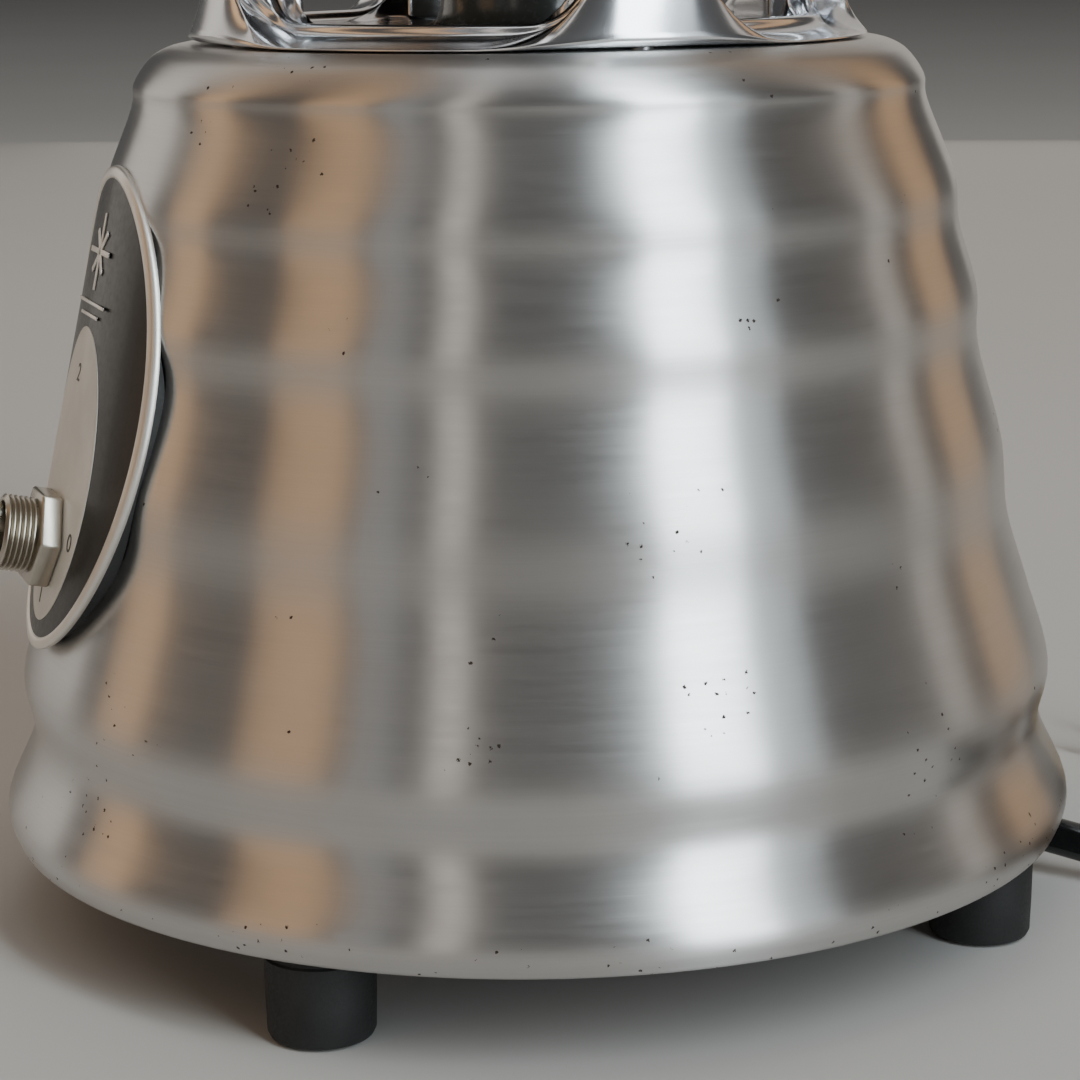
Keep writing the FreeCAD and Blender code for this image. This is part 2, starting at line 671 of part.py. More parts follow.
def stator_core():
    half = D.stack_width / 2
    body = block("stack_block", (-half, half), (-half, half), (stack_low, stack_high))
    bore = cylinder("stack_bore", D.armature_radius + D.air_gap, stack_low - 1, stack_high + 1)
    gap = D.seat_gap
    windows = []
    for index, (side_x, side_y) in enumerate(corners_of(1, 1)):
        near, far = coil_near - gap, coil_near + D.coil_depth + gap
        inner, outer = D.pole_width / 2 - gap, D.pole_width / 2 + D.coil_width + gap
        windows.append(block(f"window_{index}", sorted((near * side_x, far * side_x), key=number_of),
                             sorted((inner * side_y, outer * side_y), key=number_of),
                             (stack_low - 1, stack_high + 1)))
    holes = [cylinder(f"stack_hole_{index}", D.screw_radius + D.hole_gap, stack_low - 1, stack_high + 1,
                      x, y) for index, (x, y) in enumerate(corners_of(D.bolt_offset, D.bolt_offset))]
    return cut("stator_core", body, bore, *windows, *holes)


def field_coils():
    near, far = coil_near, coil_near + D.coil_depth
    inner, outer = D.pole_width / 2, D.pole_width / 2 + D.coil_width
    coils = []
    for side in (1, -1):
        reach = sorted((near * side, far * side), key=number_of)
        wide = sorted(((near - 1) * side, (far + 1) * side), key=number_of)
        coils.append(cut(f"field_coil_{side + 1}",
                         block(f"coil_outside_{side + 1}", reach, (-outer, outer),
                               (stack_low - D.winding_overhang, stack_high + D.winding_overhang)),
                         block(f"coil_inside_{side + 1}", wide, (-inner, inner),
                               (stack_low - D.seat_gap, stack_high + D.seat_gap))))
    return group("field_coils", *coils)


def motor_bolts():
    low = lower_bracket_low - D.screw_head_height
    return group("motor_bolts", *[
        screw(f"motor_bolt_{index}", x, y, low, upper_bracket_high - 0.5)
        for index, (x, y) in enumerate(corners_of(D.bolt_offset, D.bolt_offset))])


def bearing(label, low):
    return ring(label, D.shaft_radius + D.running_gap, D.bearing_radius, low, low + D.bearing_height)


on_shaft = D.shaft_radius + D.running_gap


def armature_core():
    body = turned("armature_core", [
        (on_shaft, stack_low), (D.armature_radius, stack_low),
        (D.armature_radius, stack_high), (on_shaft, stack_high)])

    def slot(sketch):
        half = D.slot_width / 2
        inner, outer = D.armature_radius - D.slot_depth, D.armature_radius + 1
        draw_outline(sketch, [(inner, -half), (outer, -half), (outer, half), (inner, half)])

    patterned(body, "armature_slot", slot, stack_high + 5, D.slot_count)
    return body


def armature_winding():
    return group("armature_winding",
                 ring("winding_top", D.shaft_radius + 0.3, D.winding_radius, stack_high,
                      stack_high + D.winding_overhang),
                 ring("winding_bottom", D.shaft_radius + 0.3, D.winding_radius,
                      stack_low - D.winding_overhang, stack_low))


def commutator():
    low = brush_height - D.commutator_height / 2
    return ring("commutator", on_shaft, D.commutator_radius, low, low + D.commutator_height)


fan_high = lower_bracket_high - D.bearing_height - 1.5
fan_low = fan_high - D.fan_height


def cooling_fan():
    disc = cylinder("fan_disc", D.fan_radius, fan_high - 1.6, fan_high)
    hub = cylinder("fan_hub", D.fan_hub, fan_low, fan_high)
    blades = []
    for index in range(int(D.fan_blades.number)):
        blade = DOC.addObject("Part::Box", f"fan_blade_{index}")
        bind(blade, Length=D.fan_radius - D.fan_hub, Width=D.fan_blade, Height=D.fan_height)
        angle = 360.0 * index / D.fan_blades.number
        start = Rotation(Vector(0, 0, 1), angle).multVec(Vector(D.fan_hub.number - 0.5, 0, 0))
        blades.append(put(blade, start.x, start.y, fan_low, angle=angle))
    return cut("cooling_fan", joined("fan_body", disc, hub, *blades),
               cylinder("fan_bore", on_shaft, fan_low - 1, fan_high + 1))


def motor_shaft():
    low = fan_low - 2
    return turned("motor_shaft", [
        (0, low), (D.shaft_radius, low), (D.shaft_radius, hub_top + 1.0), (0, hub_top + 1.0)])


def slinger_washer():
    return ring("slinger_washer", on_shaft, D.hub_radius - 4, hub_top + 0.3, hub_top + 1.0)


def drive_stud():
    return prism("drive_stud", 6, D.stud_flats, hub_top + 1.0, hub_top + 1.0 + D.stud_height)


def along_x(item, x, y, z, side):
    return put(item, x, y, z, axis=(0, 1, 0), angle=90 * side)


def brush_parts():
    """Both sides' holders, brushes, springs and caps, each kind in one group."""
    inner = D.brush_width / 2
    clear = inner + 0.2
    start, length = holder_start, D.holder_length
    contact = D.commutator_radius + D.seat_gap
    kinds = {"brush_holders": [], "carbon_brushes": [], "brush_springs": [], "brush_caps": []}
    for side in (1, -1):
        def reach(low, high):
            return sorted((low * side, high * side), key=number_of)

        def square(label, half, low, high):
            return block(f"{label}_{side + 1}", reach(low, high), (-half, half),
                         (brush_height - half, brush_height + half))

        kinds["brush_holders"].append(cut(
            f"brush_holder_{side + 1}", square("holder_outside", holder_half, start, start + length),
            square("holder_inside", clear, start - 1, start + length + 1)))
        brush_end = contact + D.brush_length
        kinds["carbon_brushes"].append(square("carbon_brush", inner, contact, brush_end))
        spring_length = start + length - 2.5 - brush_end
        coil = Part.makeHelix(spring_length.number / 4, spring_length.number - D.spring_wire.number * 2,
                              D.brush_spring_radius.number - D.spring_wire.number)
        wire = Part.Wire(Part.makeCircle(
            D.spring_wire.number, coil.Edges[0].valueAt(coil.Edges[0].FirstParameter),
            coil.Edges[0].tangentAt(coil.Edges[0].FirstParameter)))
        spring = made(f"brush_spring_{side + 1}", Part.Wire(coil.Edges).makePipeShell([wire], True, True))
        along_x(spring, (brush_end + D.spring_wire) * side, 0, brush_height, side)
        kinds["brush_springs"].append(spring)
        kinds["brush_caps"].append(joined(
            f"brush_cap_{side + 1}", square("cap_plug", inner, start + length - 2.5, start + length),
            square("cap_flange", holder_half, start + length, start + length + 1.5)))
    for label, items in kinds.items():
        group(label, *items)


# ---- switch ----------------------------------------------------------------------------------------

def switch_parts():
    back = -D.switch_set_back
    body = DOC.addObject("Part::Box", "switch_body")
    bind(body, Length=D.switch_width, Width=D.switch_length, Height=D.switch_depth)
    turn = Rotation(Vector(1, 0, 0), SWITCH_TURN)
    corner = Vector(-D.switch_width.number / 2, -D.switch_length.number / 2,
                    number_of(back) - D.switch_depth.number)
    body.Placement = FreeCAD.Placement(SWITCH_BASE + turn.multVec(corner), turn)

    nut_flats = (D.bushing_radius + D.hex_wall) * 2
    bushing_length = D.switch_set_back + D.bushing_proud
    pivot = bushing_length - D.lever_pivot
    pivot_hole = cylinder("pivot_hole", D.pivot_radius + D.pivot_gap, 0, D.bushing_radius * 2 + 2)
    put(pivot_hole, -D.bushing_radius - 1, 0, pivot, axis=(0, 1, 0), angle=90)
    on_switch(cut("switch_bushing",
                  cylinder("bushing_outside", D.bushing_radius, 0, bushing_length),
                  cylinder("bushing_bore", D.bushing_bore, pivot - D.bore_depth, bushing_length + 1),
                  pivot_hole), number_of(back))
    on_switch(cut("switch_nut", prism("nut_hexagon", 6, nut_flats, 0, D.nut_height),
                  cylinder("nut_bore", D.bushing_radius + D.nut_seat, -1, D.nut_height + 1)),
              D.nut_seat.number)
    on_switch(ring("switch_washer", D.bushing_radius + D.pocket_gap, D.bushing_radius + D.washer_width, 0,
                   D.washer_thickness), number_of(back))
    tabs = []
    for index in (-1, 0, 1):
        tab = DOC.addObject("Part::Box", f"switch_tab_{index + 1}")
        bind(tab, Length=D.blade_gauge * 4, Width=D.tab_thickness, Height=D.tab_length)
        spot = Vector(-D.blade_gauge.number * 2,
                      index * D.tab_spacing.number - D.tab_thickness.number / 2,
                      number_of(back) - D.switch_depth.number - D.tab_length.number)
        tab.Placement = FreeCAD.Placement(SWITCH_BASE + turn.multVec(spot), turn)
        tabs.append(tab)
    group("switch_terminals", *tabs)
    diode = DOC.addObject("Part::Cylinder", "speed_diode")
    bind(diode, Radius=D.diode_radius, Height=D.diode_length)
    spot = Vector(0, 0.6, number_of(back) - D.switch_depth.number - D.tab_length.number / 2)
    diode.Placement = FreeCAD.Placement(SWITCH_BASE + turn.multVec(spot),
                                        turn.multiply(Rotation(Vector(1, 0, 0), -90)))


def toggle_lever():
    """A bat lever on a ball with a pin across it, with its origin at the pivot."""
    ball, stem, tip = D.lever_ball.number, D.lever_radius.number, D.lever_tip_radius.number
    length = D.lever_length.number
    neck = Part.makeCone(stem - 0.3, tip, length - tip)
    half_pin = D.pivot_half.number
    pin_across = Part.makeCylinder(D.pivot_radius.number, half_pin * 2, Vector(-half_pin, 0, 0),
                                   Vector(1, 0, 0))
    shape = Part.makeSphere(ball).fuse([neck, Part.makeSphere(tip, Vector(0, 0, length - tip)),
                                        pin_across])
    item = made("toggle_lever", shape.removeSplitter())
    pivot_out = D.bushing_proud.number - D.lever_pivot.number
    return on_switch(item, pivot_out, D.lever_tilt.number)


# ---- jar -------------------------------------------------------------------------------------------

flange_low = seat + D.nut_floor
flange_high = flange_low + D.flange_thickness
glass_low = flange_high + D.gasket_thickness
glass_top = glass_low + D.jar_height
nut_inner = D.nut_radius - D.nut_wall
neck_radius = nut_inner - D.thread_gap
jar_waist = neck_radius + D.jar_swell
bearing_flange = nut_inner - D.flange_gap


def jar_nut():
    top = seat + D.nut_skirt + D.nut_band
    step = seat + D.nut_skirt
    band_radius = D.nut_radius + D.nut_band_proud
    return turned("jar_nut", [
        (D.nut_floor_bore, seat), (D.nut_radius - 1.5, seat), (D.nut_radius, seat + 1.5),
        (D.nut_radius, step), (band_radius, step + 2), (band_radius, top - 1.5),
        (band_radius - 1.5, top), (nut_inner, top), (nut_inner, flange_low), (D.nut_floor_bore, flange_low)])


def jar_gasket():
    return ring("jar_gasket", bearing_flange - D.gasket_width, bearing_flange, flange_high, glass_low)


dome_top = flange_high + D.dome_height
bushing_top = dome_top + 11.0


def blade_bearing_housing():
    wall = D.flange_thickness
    bore = D.spindle_radius + D.bushing_wall + 0.05
    return turned("blade_bearing_housing", [
        (D.dome_radius, flange_low), (bearing_flange, flange_low), (bearing_flange, flange_high),
        (D.dome_radius + wall + 3, flange_high), (D.dome_radius + wall, flange_high + 3),
        (D.dome_radius + wall, dome_top - 1), (D.dome_radius + wall - 1, dome_top),
        (bore + wall, dome_top), (bore + wall, bushing_top), (bore, bushing_top), (bore, dome_top - wall),
        (D.dome_radius, dome_top - wall)])


def blade_bushing():
    return ring("blade_bushing", D.spindle_radius + D.running_gap, D.spindle_radius + D.bushing_wall,
                dome_top - D.flange_thickness, bushing_top)


socket_low = hub_top + 1.4
socket_top = dome_top - D.flange_thickness - 0.5


def drive_socket():
    body = cylinder("socket_body", D.socket_radius, socket_low, socket_top)
    recess = prism("socket_recess", 6, D.stud_flats + D.socket_gap * 2, socket_low - 1,
                   hub_top + 1.0 + D.stud_height + D.socket_gap)
    return cut("drive_socket", body, recess)


blade_low = bushing_top + 0.5


def blade_spindle():
    return turned("blade_spindle", [
        (0, socket_top), (D.spindle_radius, socket_top), (D.spindle_radius, blade_low),
        (D.spindle_radius + 2, blade_low), (D.spindle_radius + 2, blade_low + 1),
        (D.spindle_radius - 0.8, blade_low + 1), (D.spindle_radius - 0.8, blade_low + 8.5),
        (0, blade_low + 8.5)])


def blade_pair(label, low, lift, turn):
    """Two opposite wings on a hub, bent up or down from flat, as one stamped piece."""
    hub = Part.makeCylinder(D.spindle_radius.number + 3.2, D.blade_thickness.number)
    half, reach = D.blade_width.number / 2, D.blade_reach.number
    pieces = [hub]
    for heading in (0, 180):
        outline = [Vector(2, -half, 0), Vector(9, -half, 0), Vector(9, half, 0), Vector(2, half, 0)]
        root = Part.Face(Part.makePolygon(outline + outline[:1])).extrude(
            Vector(0, 0, D.blade_thickness.number))
        wing_outline = [Vector(0, -half, 0), Vector(reach - 14, -half + 1.2, 0), Vector(reach - 9, 1.5, 0),
                        Vector(reach - 12, half - 0.5, 0), Vector(0, half, 0)]
        wing = Part.Face(Part.makePolygon(wing_outline + wing_outline[:1])).extrude(
            Vector(0, 0, D.blade_thickness.number))
        wing.Placement = FreeCAD.Placement(Vector(8.6, 0, 0), Rotation(Vector(0, 1, 0), -lift))
        arm = root.fuse(wing)
        arm.rotate(Vector(), Vector(0, 0, 1), heading)
        pieces.append(arm)
    shape = pieces[0].fuse(pieces[1:]).cut(
        Part.makeCylinder(D.spindle_radius.number - 0.75, 10, Vector(0, 0, -5)))
    item = made(label, shape.removeSplitter())
    return put(item, z=low, angle=turn)


def blade_set():
    first = blade_low + 1.0
    second = first + D.blade_thickness
    blade_pair("lower_blades", first, -22, 0)
    blade_pair("upper_blades", second, 38, 90)
    cap_low = second + D.blade_thickness
    cut("blade_cap_nut", joined("cap_nut_body", prism("cap_nut_hexagon", 6, D.cap_nut_flats, cap_low,
                                                      cap_low + 4),
                                cylinder("cap_nut_dome", D.spindle_radius, cap_low, cap_low + 6.5)),
        cylinder("cap_nut_bore", D.spindle_radius - 0.75, cap_low - 1, cap_low + 5.4))


def jar_body(inset, low, high):
    """A solid of the jar's outside, or of its inside, from below its foot to above its mouth."""
    base = glass_low.number
    neck, waist, top = (radius.number - inset for radius in (neck_radius, jar_waist, D.jar_top_radius))
    neck_top = base + D.jar_neck.number + inset / 2
    shoulder = neck_top + D.jar_shoulder.number
    cone_lean = (top - waist) / (base + D.jar_height.number - shoulder)
    swell = Part.BezierCurve()
    swell.setPoles([Vector(neck, 0, neck_top), Vector(neck, 0, neck_top + 5),
                    Vector(waist - 5 * cone_lean, 0, shoulder - 5), Vector(waist, 0, shoulder)])
    mouth = base + D.jar_height.number
    lines = corner_lines([(waist, shoulder), (top, mouth), (top, base + high), (0, base + high),
                          (0, base + low), (neck, base + low), (neck, neck_top)])
    return turned_face([swell.toShape()] + lines)


def spout(inset, rise):
    radius = D.spout_proud.number + 5
    base = glass_top.number - D.spout_drop.number
    shape = Part.makeCone(1.2, radius - inset, D.spout_drop.number + rise,
                          Vector(0, -(D.jar_top_radius.number - 5 - inset * 0.2), base))
    return shape


def jar_radius_at(height):
    """The jar's outer radius at a height on its straight taper."""
    low = glass_low.number + D.jar_neck.number + D.jar_shoulder.number
    share = (height - low) / (glass_top.number - low)
    return jar_waist.number + (D.jar_top_radius.number - jar_waist.number) * share


def handle_grip():
    """A D-shaped handle at +Y, swept along straight runs and arcs, with both ends in the jar's wall."""
    base = glass_low.number
    out = D.handle_reach.number - D.handle_thickness.number / 2
    low, high = base + D.handle_low.number, base + D.handle_high.number
    bite, top_end = D.glass_wall.number / 2, high - 2
    path, _ = tube_path([(0, jar_radius_at(low) - bite, low), (0, out - 4, low + 2), (0, out, high - 8),
                         (0, jar_radius_at(top_end) - bite, top_end)], closing=0.42)
    section = Part.Ellipse(Vector(), D.handle_width.number / 2, D.handle_thickness.number / 2).toShape()
    first = path.Edges[0]
    section.Placement = FreeCAD.Placement(
        first.valueAt(first.FirstParameter),
        Rotation(Vector(1, 0, 0), Vector(0, 0, 1), first.tangentAt(first.FirstParameter)))
    return path.makePipeShell([Part.Wire(section)], True, False)


def glass_jar():
    height, wall = D.jar_height.number, D.glass_wall.number
    outside = jar_body(0, 0, height)
    bead = Part.makeTorus(D.jar_top_radius.number - 0.6, D.jar_lip.number + 0.6,
                          Vector(0, 0, glass_top.number - D.jar_lip.number - 0.8))
    body = outside.fuse([bead, handle_grip(), spout(0, 0)])
    inside = jar_body(wall, -2, height + 5)
    body = body.cut([inside, spout(3.0, 3)])
    return made("glass_jar", body.removeSplitter())


# ---- lid and filler cap ----------------------------------------------------------------------------

lid_low = glass_top
lid_high = lid_low + D.lid_thickness
collar_high = lid_high + D.lid_collar
plug_radius = D.jar_top_radius - D.glass_wall - D.lid_gap


def jar_lid():
    plug_low = lid_low - D.lid_plug
    return turned("jar_lid", [
        (plug_radius - 1.2, plug_low), (plug_radius - 0.4, lid_low), (D.lid_flange, lid_low),
        (D.lid_flange, lid_high - 1.2), (D.lid_flange - 1.6, lid_high),
        (D.lid_hole + D.lid_wall + 3, lid_high), (D.lid_hole + D.lid_wall, collar_high),
        (D.lid_hole, collar_high), (D.lid_hole, lid_low - 4), (D.lid_hole + D.lid_wall, lid_low - 4),
        (D.lid_hole + D.lid_wall, lid_low), (plug_radius - D.lid_wall - 1.2, lid_low),
        (plug_radius - D.lid_wall - 1.2, plug_low)])


def filler_cap():
    outer = D.lid_hole - D.cap_gap
    low = collar_high - D.cap_depth
    top = collar_high + D.cap_top
    return turned("filler_cap", [
        (outer - D.cap_wall - 0.6, low), (outer - 0.6, low), (outer, collar_high),
        (D.cap_flange, collar_high), (D.cap_flange, top - 0.8), (D.cap_flange - 1.2, top),
        (0, top), (0, collar_high), (outer - D.cap_wall, collar_high)])


# ---- cord ------------------------------------------------------------------------------------------

# The cord leaves the gland sideways, comes down to the table past the rim and runs to its coil.
CORD_ROUTE = ((20.1, 66.8, 8.6), (33.6, 77.7, 7.2), (49.0, 91.2, 4.0), (64.0, 101.2, 3.1),
              (78.0, 107.8, 3.1))
TAIL_ROUTE = ((28.0, 167.0, 3.1), (18.5, 158.2, 4.6), (8.7, 150.7, 6.5))
COIL_CENTRE = (57.0, 143.0)
COIL_LAYERS = 2


def cord_parts():
    diameter = D.cord_diameter.number
    inner = D.coil_radius - D.cord_diameter
    outer = D.coil_radius + D.cord_diameter
    coil = ring("cord_coil", inner, outer, 0.0, D.cord_diameter * COIL_LAYERS, *COIL_CENTRE)
    DOC.recompute()
    for label, route in (("power_cord", CORD_ROUTE), ("cord_tail", TAIL_ROUTE)):
        shape, radii, length = tube(route, diameter)
        meeting = shape.cut(coil.Shape)
        made(label, max(meeting.Solids, key=lambda solid: solid.Volume))
        print(f"{label}: {length:.0f} mm, arc radii " + ", ".join(f"{radius:.0f}" for radius in radii))


def cord_gland():
    """A flanged rubber bush through the base plate, with a block under it that turns the cord."""
    bottom = plate_low - D.gland_drop
    groove = D.gland_radius - D.gland_groove
    bush = turned("gland_bush", [
        (0, bottom), (D.gland_radius, bottom), (D.gland_radius, plate_low), (groove, plate_low),
        (groove, plate_high), (D.gland_radius, plate_high), (D.gland_radius, plate_high + 2),
        (0, plate_high + 2)], {1.2: [(D.gland_radius, bottom)]})
    put(bush, 0, D.gland_y)
    return cut("cord_gland", bush, cylinder("gland_bore", D.cord_diameter / 2 + 0.2, plate_low - 2,
                                            plate_high + 3, 0, D.gland_y))


def strain_relief():
    start = Vector(0, D.gland_y.number, D.relief_height.number)
    end = Vector(*CORD_ROUTE[0])
    heading = (end - start).normalize()
    near = start + heading * (D.gland_radius.number + 0.02)
    length = (end - near).Length
    sleeve = Part.makeCone(D.relief_radius.number, D.cord_diameter.number / 2 + D.relief_tip.number,
                           length, near, heading)
    return made("strain_relief", sleeve)


def plug_parts():
    before, start = Vector(*TAIL_ROUTE[-2]), Vector(*TAIL_ROUTE[-1])
    turn = Rotation(Vector(0, 0, 1), math.degrees(math.atan2(start.y - before.y, start.x - before.x)))
    half = D.plug_height.number / 2
    width, length = D.plug_width.number, D.plug_length.number
    body = Part.makeBox(length, width, D.plug_height.number, Vector(0, -width / 2, -half))
    body = body.makeFillet(D.plug_rounding.number, [edge for edge in body.Edges if abs(edge.tangentAt(
        edge.FirstParameter).x) > 0.9])
    item = made("plug_body", body)
    item.Placement = FreeCAD.Placement(start, turn)
    prongs = []
    for side in (1, -1):
        gauge, high = D.blade_gauge.number, D.prong_width.number
        prongs.append(Part.makeBox(D.prong_length.number, gauge, high,
                                   Vector(length, side * D.prong_spacing.number / 2 - gauge / 2, -high / 2)))
    item = made("plug_blades", Part.makeCompound(prongs))
    item.Placement = FreeCAD.Placement(start, turn)


def supply_wires():
    """Two insulated wires from the gland up to the switch's terminals."""
    routes = []
    tab = SWITCH_BASE + Rotation(Vector(1, 0, 0), SWITCH_TURN).multVec(
        Vector(0, 0, -D.switch_set_back.number - D.switch_depth.number - 7.0))
    start = plate_high.number - 1
    for side in (1, -1):
        routes.append(((side * 1.6, D.gland_y.number, start), (side * 1.6, D.gland_y.number, start + 8),
                       (side * 28, D.gland_y.number + 7, start + 12), (side * 62, 32, start + 17),
                       (side * 66, -8, start + 24), (side * 46, -48, start + 32),
                       (side * 18, tab.y - 2.0, tab.z - 3), (side * 3.2, tab.y + 0.6, tab.z + side)))
    wires = [tube(route, 2.0)[0] for route in routes]
    return made("supply_wires", Part.makeCompound(wires))


# ---- the whole blender -----------------------------------------------------------------------------

def build():
    housing_shell()
    badge_plate()
    badge_gasket()
    jar_collar()
    collar_screws()
    base_plate()
    for index, (across, along) in enumerate(around(4, 45), 1):
        rubber_foot(f"rubber_foot_{index}", across, along)
    base_screws()
    standoffs()
    upper_motor_bracket()
    lower_motor_bracket()
    stator_core()
    field_coils()
    motor_bolts()
    bearing("upper_bearing", upper_bracket_low - D.bearing_height)
    bearing("lower_bearing", lower_bracket_high - D.bearing_height)
    armature_core()
    armature_winding()
    commutator()
    cooling_fan()
    motor_shaft()
    slinger_washer()
    drive_stud()
    brush_parts()
    switch_parts()
    toggle_lever()
    jar_nut()
    jar_gasket()
    blade_bearing_housing()
    blade_bushing()
    drive_socket()
    blade_spindle()
    blade_set()
    glass_jar()
    jar_lid()
    filler_cap()
    cord_parts()
    cord_gland()
    strain_relief()
    plug_parts()
    supply_wires()


NODES = (
    "housing_shell", "badge_plate", "badge_gasket", "jar_collar", "collar_screws", "base_plate",
    "rubber_foot_1", "rubber_foot_2", "rubber_foot_3", "rubber_foot_4", "base_screws", "standoffs",
    "upper_motor_bracket", "lower_motor_bracket", "stator_core", "field_coils", "motor_bolts",
    "upper_bearing", "lower_bearing", "armature_core", "armature_winding", "commutator", "cooling_fan",
    "motor_shaft", "slinger_washer", "drive_stud", "brush_holders", "carbon_brushes", "brush_springs",
    "brush_caps", "switch_body", "switch_bushing", "switch_nut", "switch_washer", "switch_terminals",
    "speed_diode", "toggle_lever", "jar_nut", "jar_gasket", "blade_bearing_housing", "blade_bushing",
    "drive_socket", "blade_spindle", "lower_blades", "upper_blades", "blade_cap_nut", "glass_jar",
    "jar_lid", "filler_cap", "power_cord", "cord_tail", "cord_coil", "cord_gland", "strain_relief",
    "plug_body", "plug_blades", "supply_wires")


def write_parts():
    """Check every object and each sub-part, then write one file for each sub-part."""
    DOC.recompute()
    failed = [item.Label for item in DOC.Objects if {"Invalid", "Error"} & set(item.State)]
    if failed:
        raise ValueError(f"these objects failed: {failed}")
    pieces = {label: DOC.getObjectsByLabel(label)[0].Shape for label in NODES}
    for label, shape in pieces.items():
        if shape.isNull() or not shape.Solids or not shape.isValid():
            raise ValueError(f"{label} has no valid solid")
    os.makedirs("parts", exist_ok=True)
    for label, shape in pieces.items():
        shape.exportStep(f"parts/{label}.step")
    print(f"{len(pieces)} sub-parts written")


build()
write_parts()
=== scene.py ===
"""Countertop blender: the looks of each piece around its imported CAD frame. Metres, +Z up.

The switch faces -Y and the cord leaves at +Y, as in the frame.
"""
import math
import bmesh
import bpy
from mathutils import Matrix, Vector


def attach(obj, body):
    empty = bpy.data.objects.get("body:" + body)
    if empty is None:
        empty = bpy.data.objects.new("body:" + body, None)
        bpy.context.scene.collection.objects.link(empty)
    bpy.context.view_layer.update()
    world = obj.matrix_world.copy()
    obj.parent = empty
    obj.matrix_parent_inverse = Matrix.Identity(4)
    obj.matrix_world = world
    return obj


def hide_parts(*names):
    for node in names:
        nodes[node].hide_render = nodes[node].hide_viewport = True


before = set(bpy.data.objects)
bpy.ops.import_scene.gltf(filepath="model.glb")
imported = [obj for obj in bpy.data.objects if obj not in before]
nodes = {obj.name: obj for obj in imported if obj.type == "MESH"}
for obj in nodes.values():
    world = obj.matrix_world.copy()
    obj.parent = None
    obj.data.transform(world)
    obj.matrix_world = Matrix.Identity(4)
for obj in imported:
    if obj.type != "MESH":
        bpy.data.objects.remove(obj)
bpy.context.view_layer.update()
MM = 0.001

# ---- camera, floor and lights ----------------------------------------------------------------------

CAMERA_TURN = 69.5
CAMERA_PITCH, CAMERA_YAW, CAMERA_ROLL = 12.55, 0.11, 0.70
CAMERA_REACH, CAMERA_HEIGHT, LENS = 450 * MM, 157.6 * MM, 92.67


def towards(azimuth, elevation=0.0):
    """A direction from the blender, by degrees round from the camera and degrees above the floor."""
    turn, lift = math.radians(azimuth + CAMERA_TURN), math.radians(elevation)
    return Vector((math.sin(turn) * math.cos(lift), -math.cos(turn) * math.cos(lift), math.sin(lift)))


def place_camera():
    yaw, pitch, roll = (math.radians(angle) for angle in (CAMERA_YAW, CAMERA_PITCH, CAMERA_ROLL))
    forward = Vector((math.sin(yaw) * math.cos(pitch), math.cos(yaw) * math.cos(pitch), -math.sin(pitch)))
    right = Vector((math.cos(yaw), -math.sin(yaw), 0))
    down = forward.cross(right)
    level = math.cos(roll) * right + math.sin(roll) * down
    below = -math.sin(roll) * right + math.cos(roll) * down
    facing = Matrix((level, -below, -forward)).transposed()
    camera = bpy.data.objects.new("camera", bpy.data.cameras.new("camera"))
    bpy.context.scene.collection.objects.link(camera)
    camera.data.lens, camera.data.sensor_width = LENS, 36
    camera.data.clip_start, camera.data.clip_end = 0.01, 40
    camera.matrix_world = (Matrix.Rotation(math.radians(CAMERA_TURN), 4, "Z")
                           @ Matrix.Translation((0, -CAMERA_REACH, CAMERA_HEIGHT)) @ facing.to_4x4())
    bpy.context.scene.camera = camera


def panel(name, azimuth, half_turn, brightness, colour=(1, 1, 1), low=0.02, high=4.6, reach=1.6):
    """An upright light this many degrees round from the camera, facing the blender's axis."""
    width, height = 2 * reach * math.tan(math.radians(half_turn)), high - low
    light = bpy.data.lights.new(name, "AREA")
    light.shape, light.size, light.size_y = "RECTANGLE", width, height
    light.energy, light.color = brightness * math.pi * width * height, colour
    lamp = bpy.data.objects.new(name, light)
    bpy.context.scene.collection.objects.link(lamp)
    out = towards(azimuth)
    lamp.matrix_world = (Matrix.Translation(out * reach + Vector((0, 0, (low + high) / 2)))
                         @ out.to_track_quat("Z", "Y").to_matrix().to_4x4())


def overhead(name, height, side, brightness):
    """A square light above the blender, facing down."""
    light = bpy.data.lights.new(name, "AREA")
    light.shape, light.size = "SQUARE", side
    light.energy = brightness * math.pi * side * side
    lamp = bpy.data.objects.new(name, light)
    bpy.context.scene.collection.objects.link(lamp)
    lamp.location = (0, 0, height)


WARM, COOL, CREAM = (1.0, 0.60, 0.30), (0.84, 0.94, 1.0), (1.0, 0.93, 0.84)
place_camera()
panel("window_light", 38, 9.0, 9.0, COOL)
panel("window_side", 54, 7.0, 1.1, COOL)
panel("pale_strip", -19, 3.5, 1.05, CREAM)
panel("cool_strip", -36, 5.0, 0.30, COOL)
panel("warm_near", -55, 10.0, 0.72, WARM)
panel("warm_far", -99, 7.0, 0.85, WARM)
panel("left_wall", -130, 13.0, 0.75, CREAM)
panel("right_strip", 101, 5.0, 0.6, CREAM)
panel("right_wall", 125, 9.0, 0.6, WARM)
panel("rear_wall", 172, 20.0, 0.45, CREAM)
overhead("ceiling_light", 5.2, 2.4, 1.4)

world = bpy.data.worlds.new("studio")
bpy.context.scene.world = world
world.use_nodes = True
world.node_tree.nodes["Background"].inputs["Color"].default_value = (0.80, 0.79, 0.78, 1)
world.node_tree.nodes["Background"].inputs["Strength"].default_value = 0.10

# ---- ways of making a mesh -------------------------------------------------------------------------


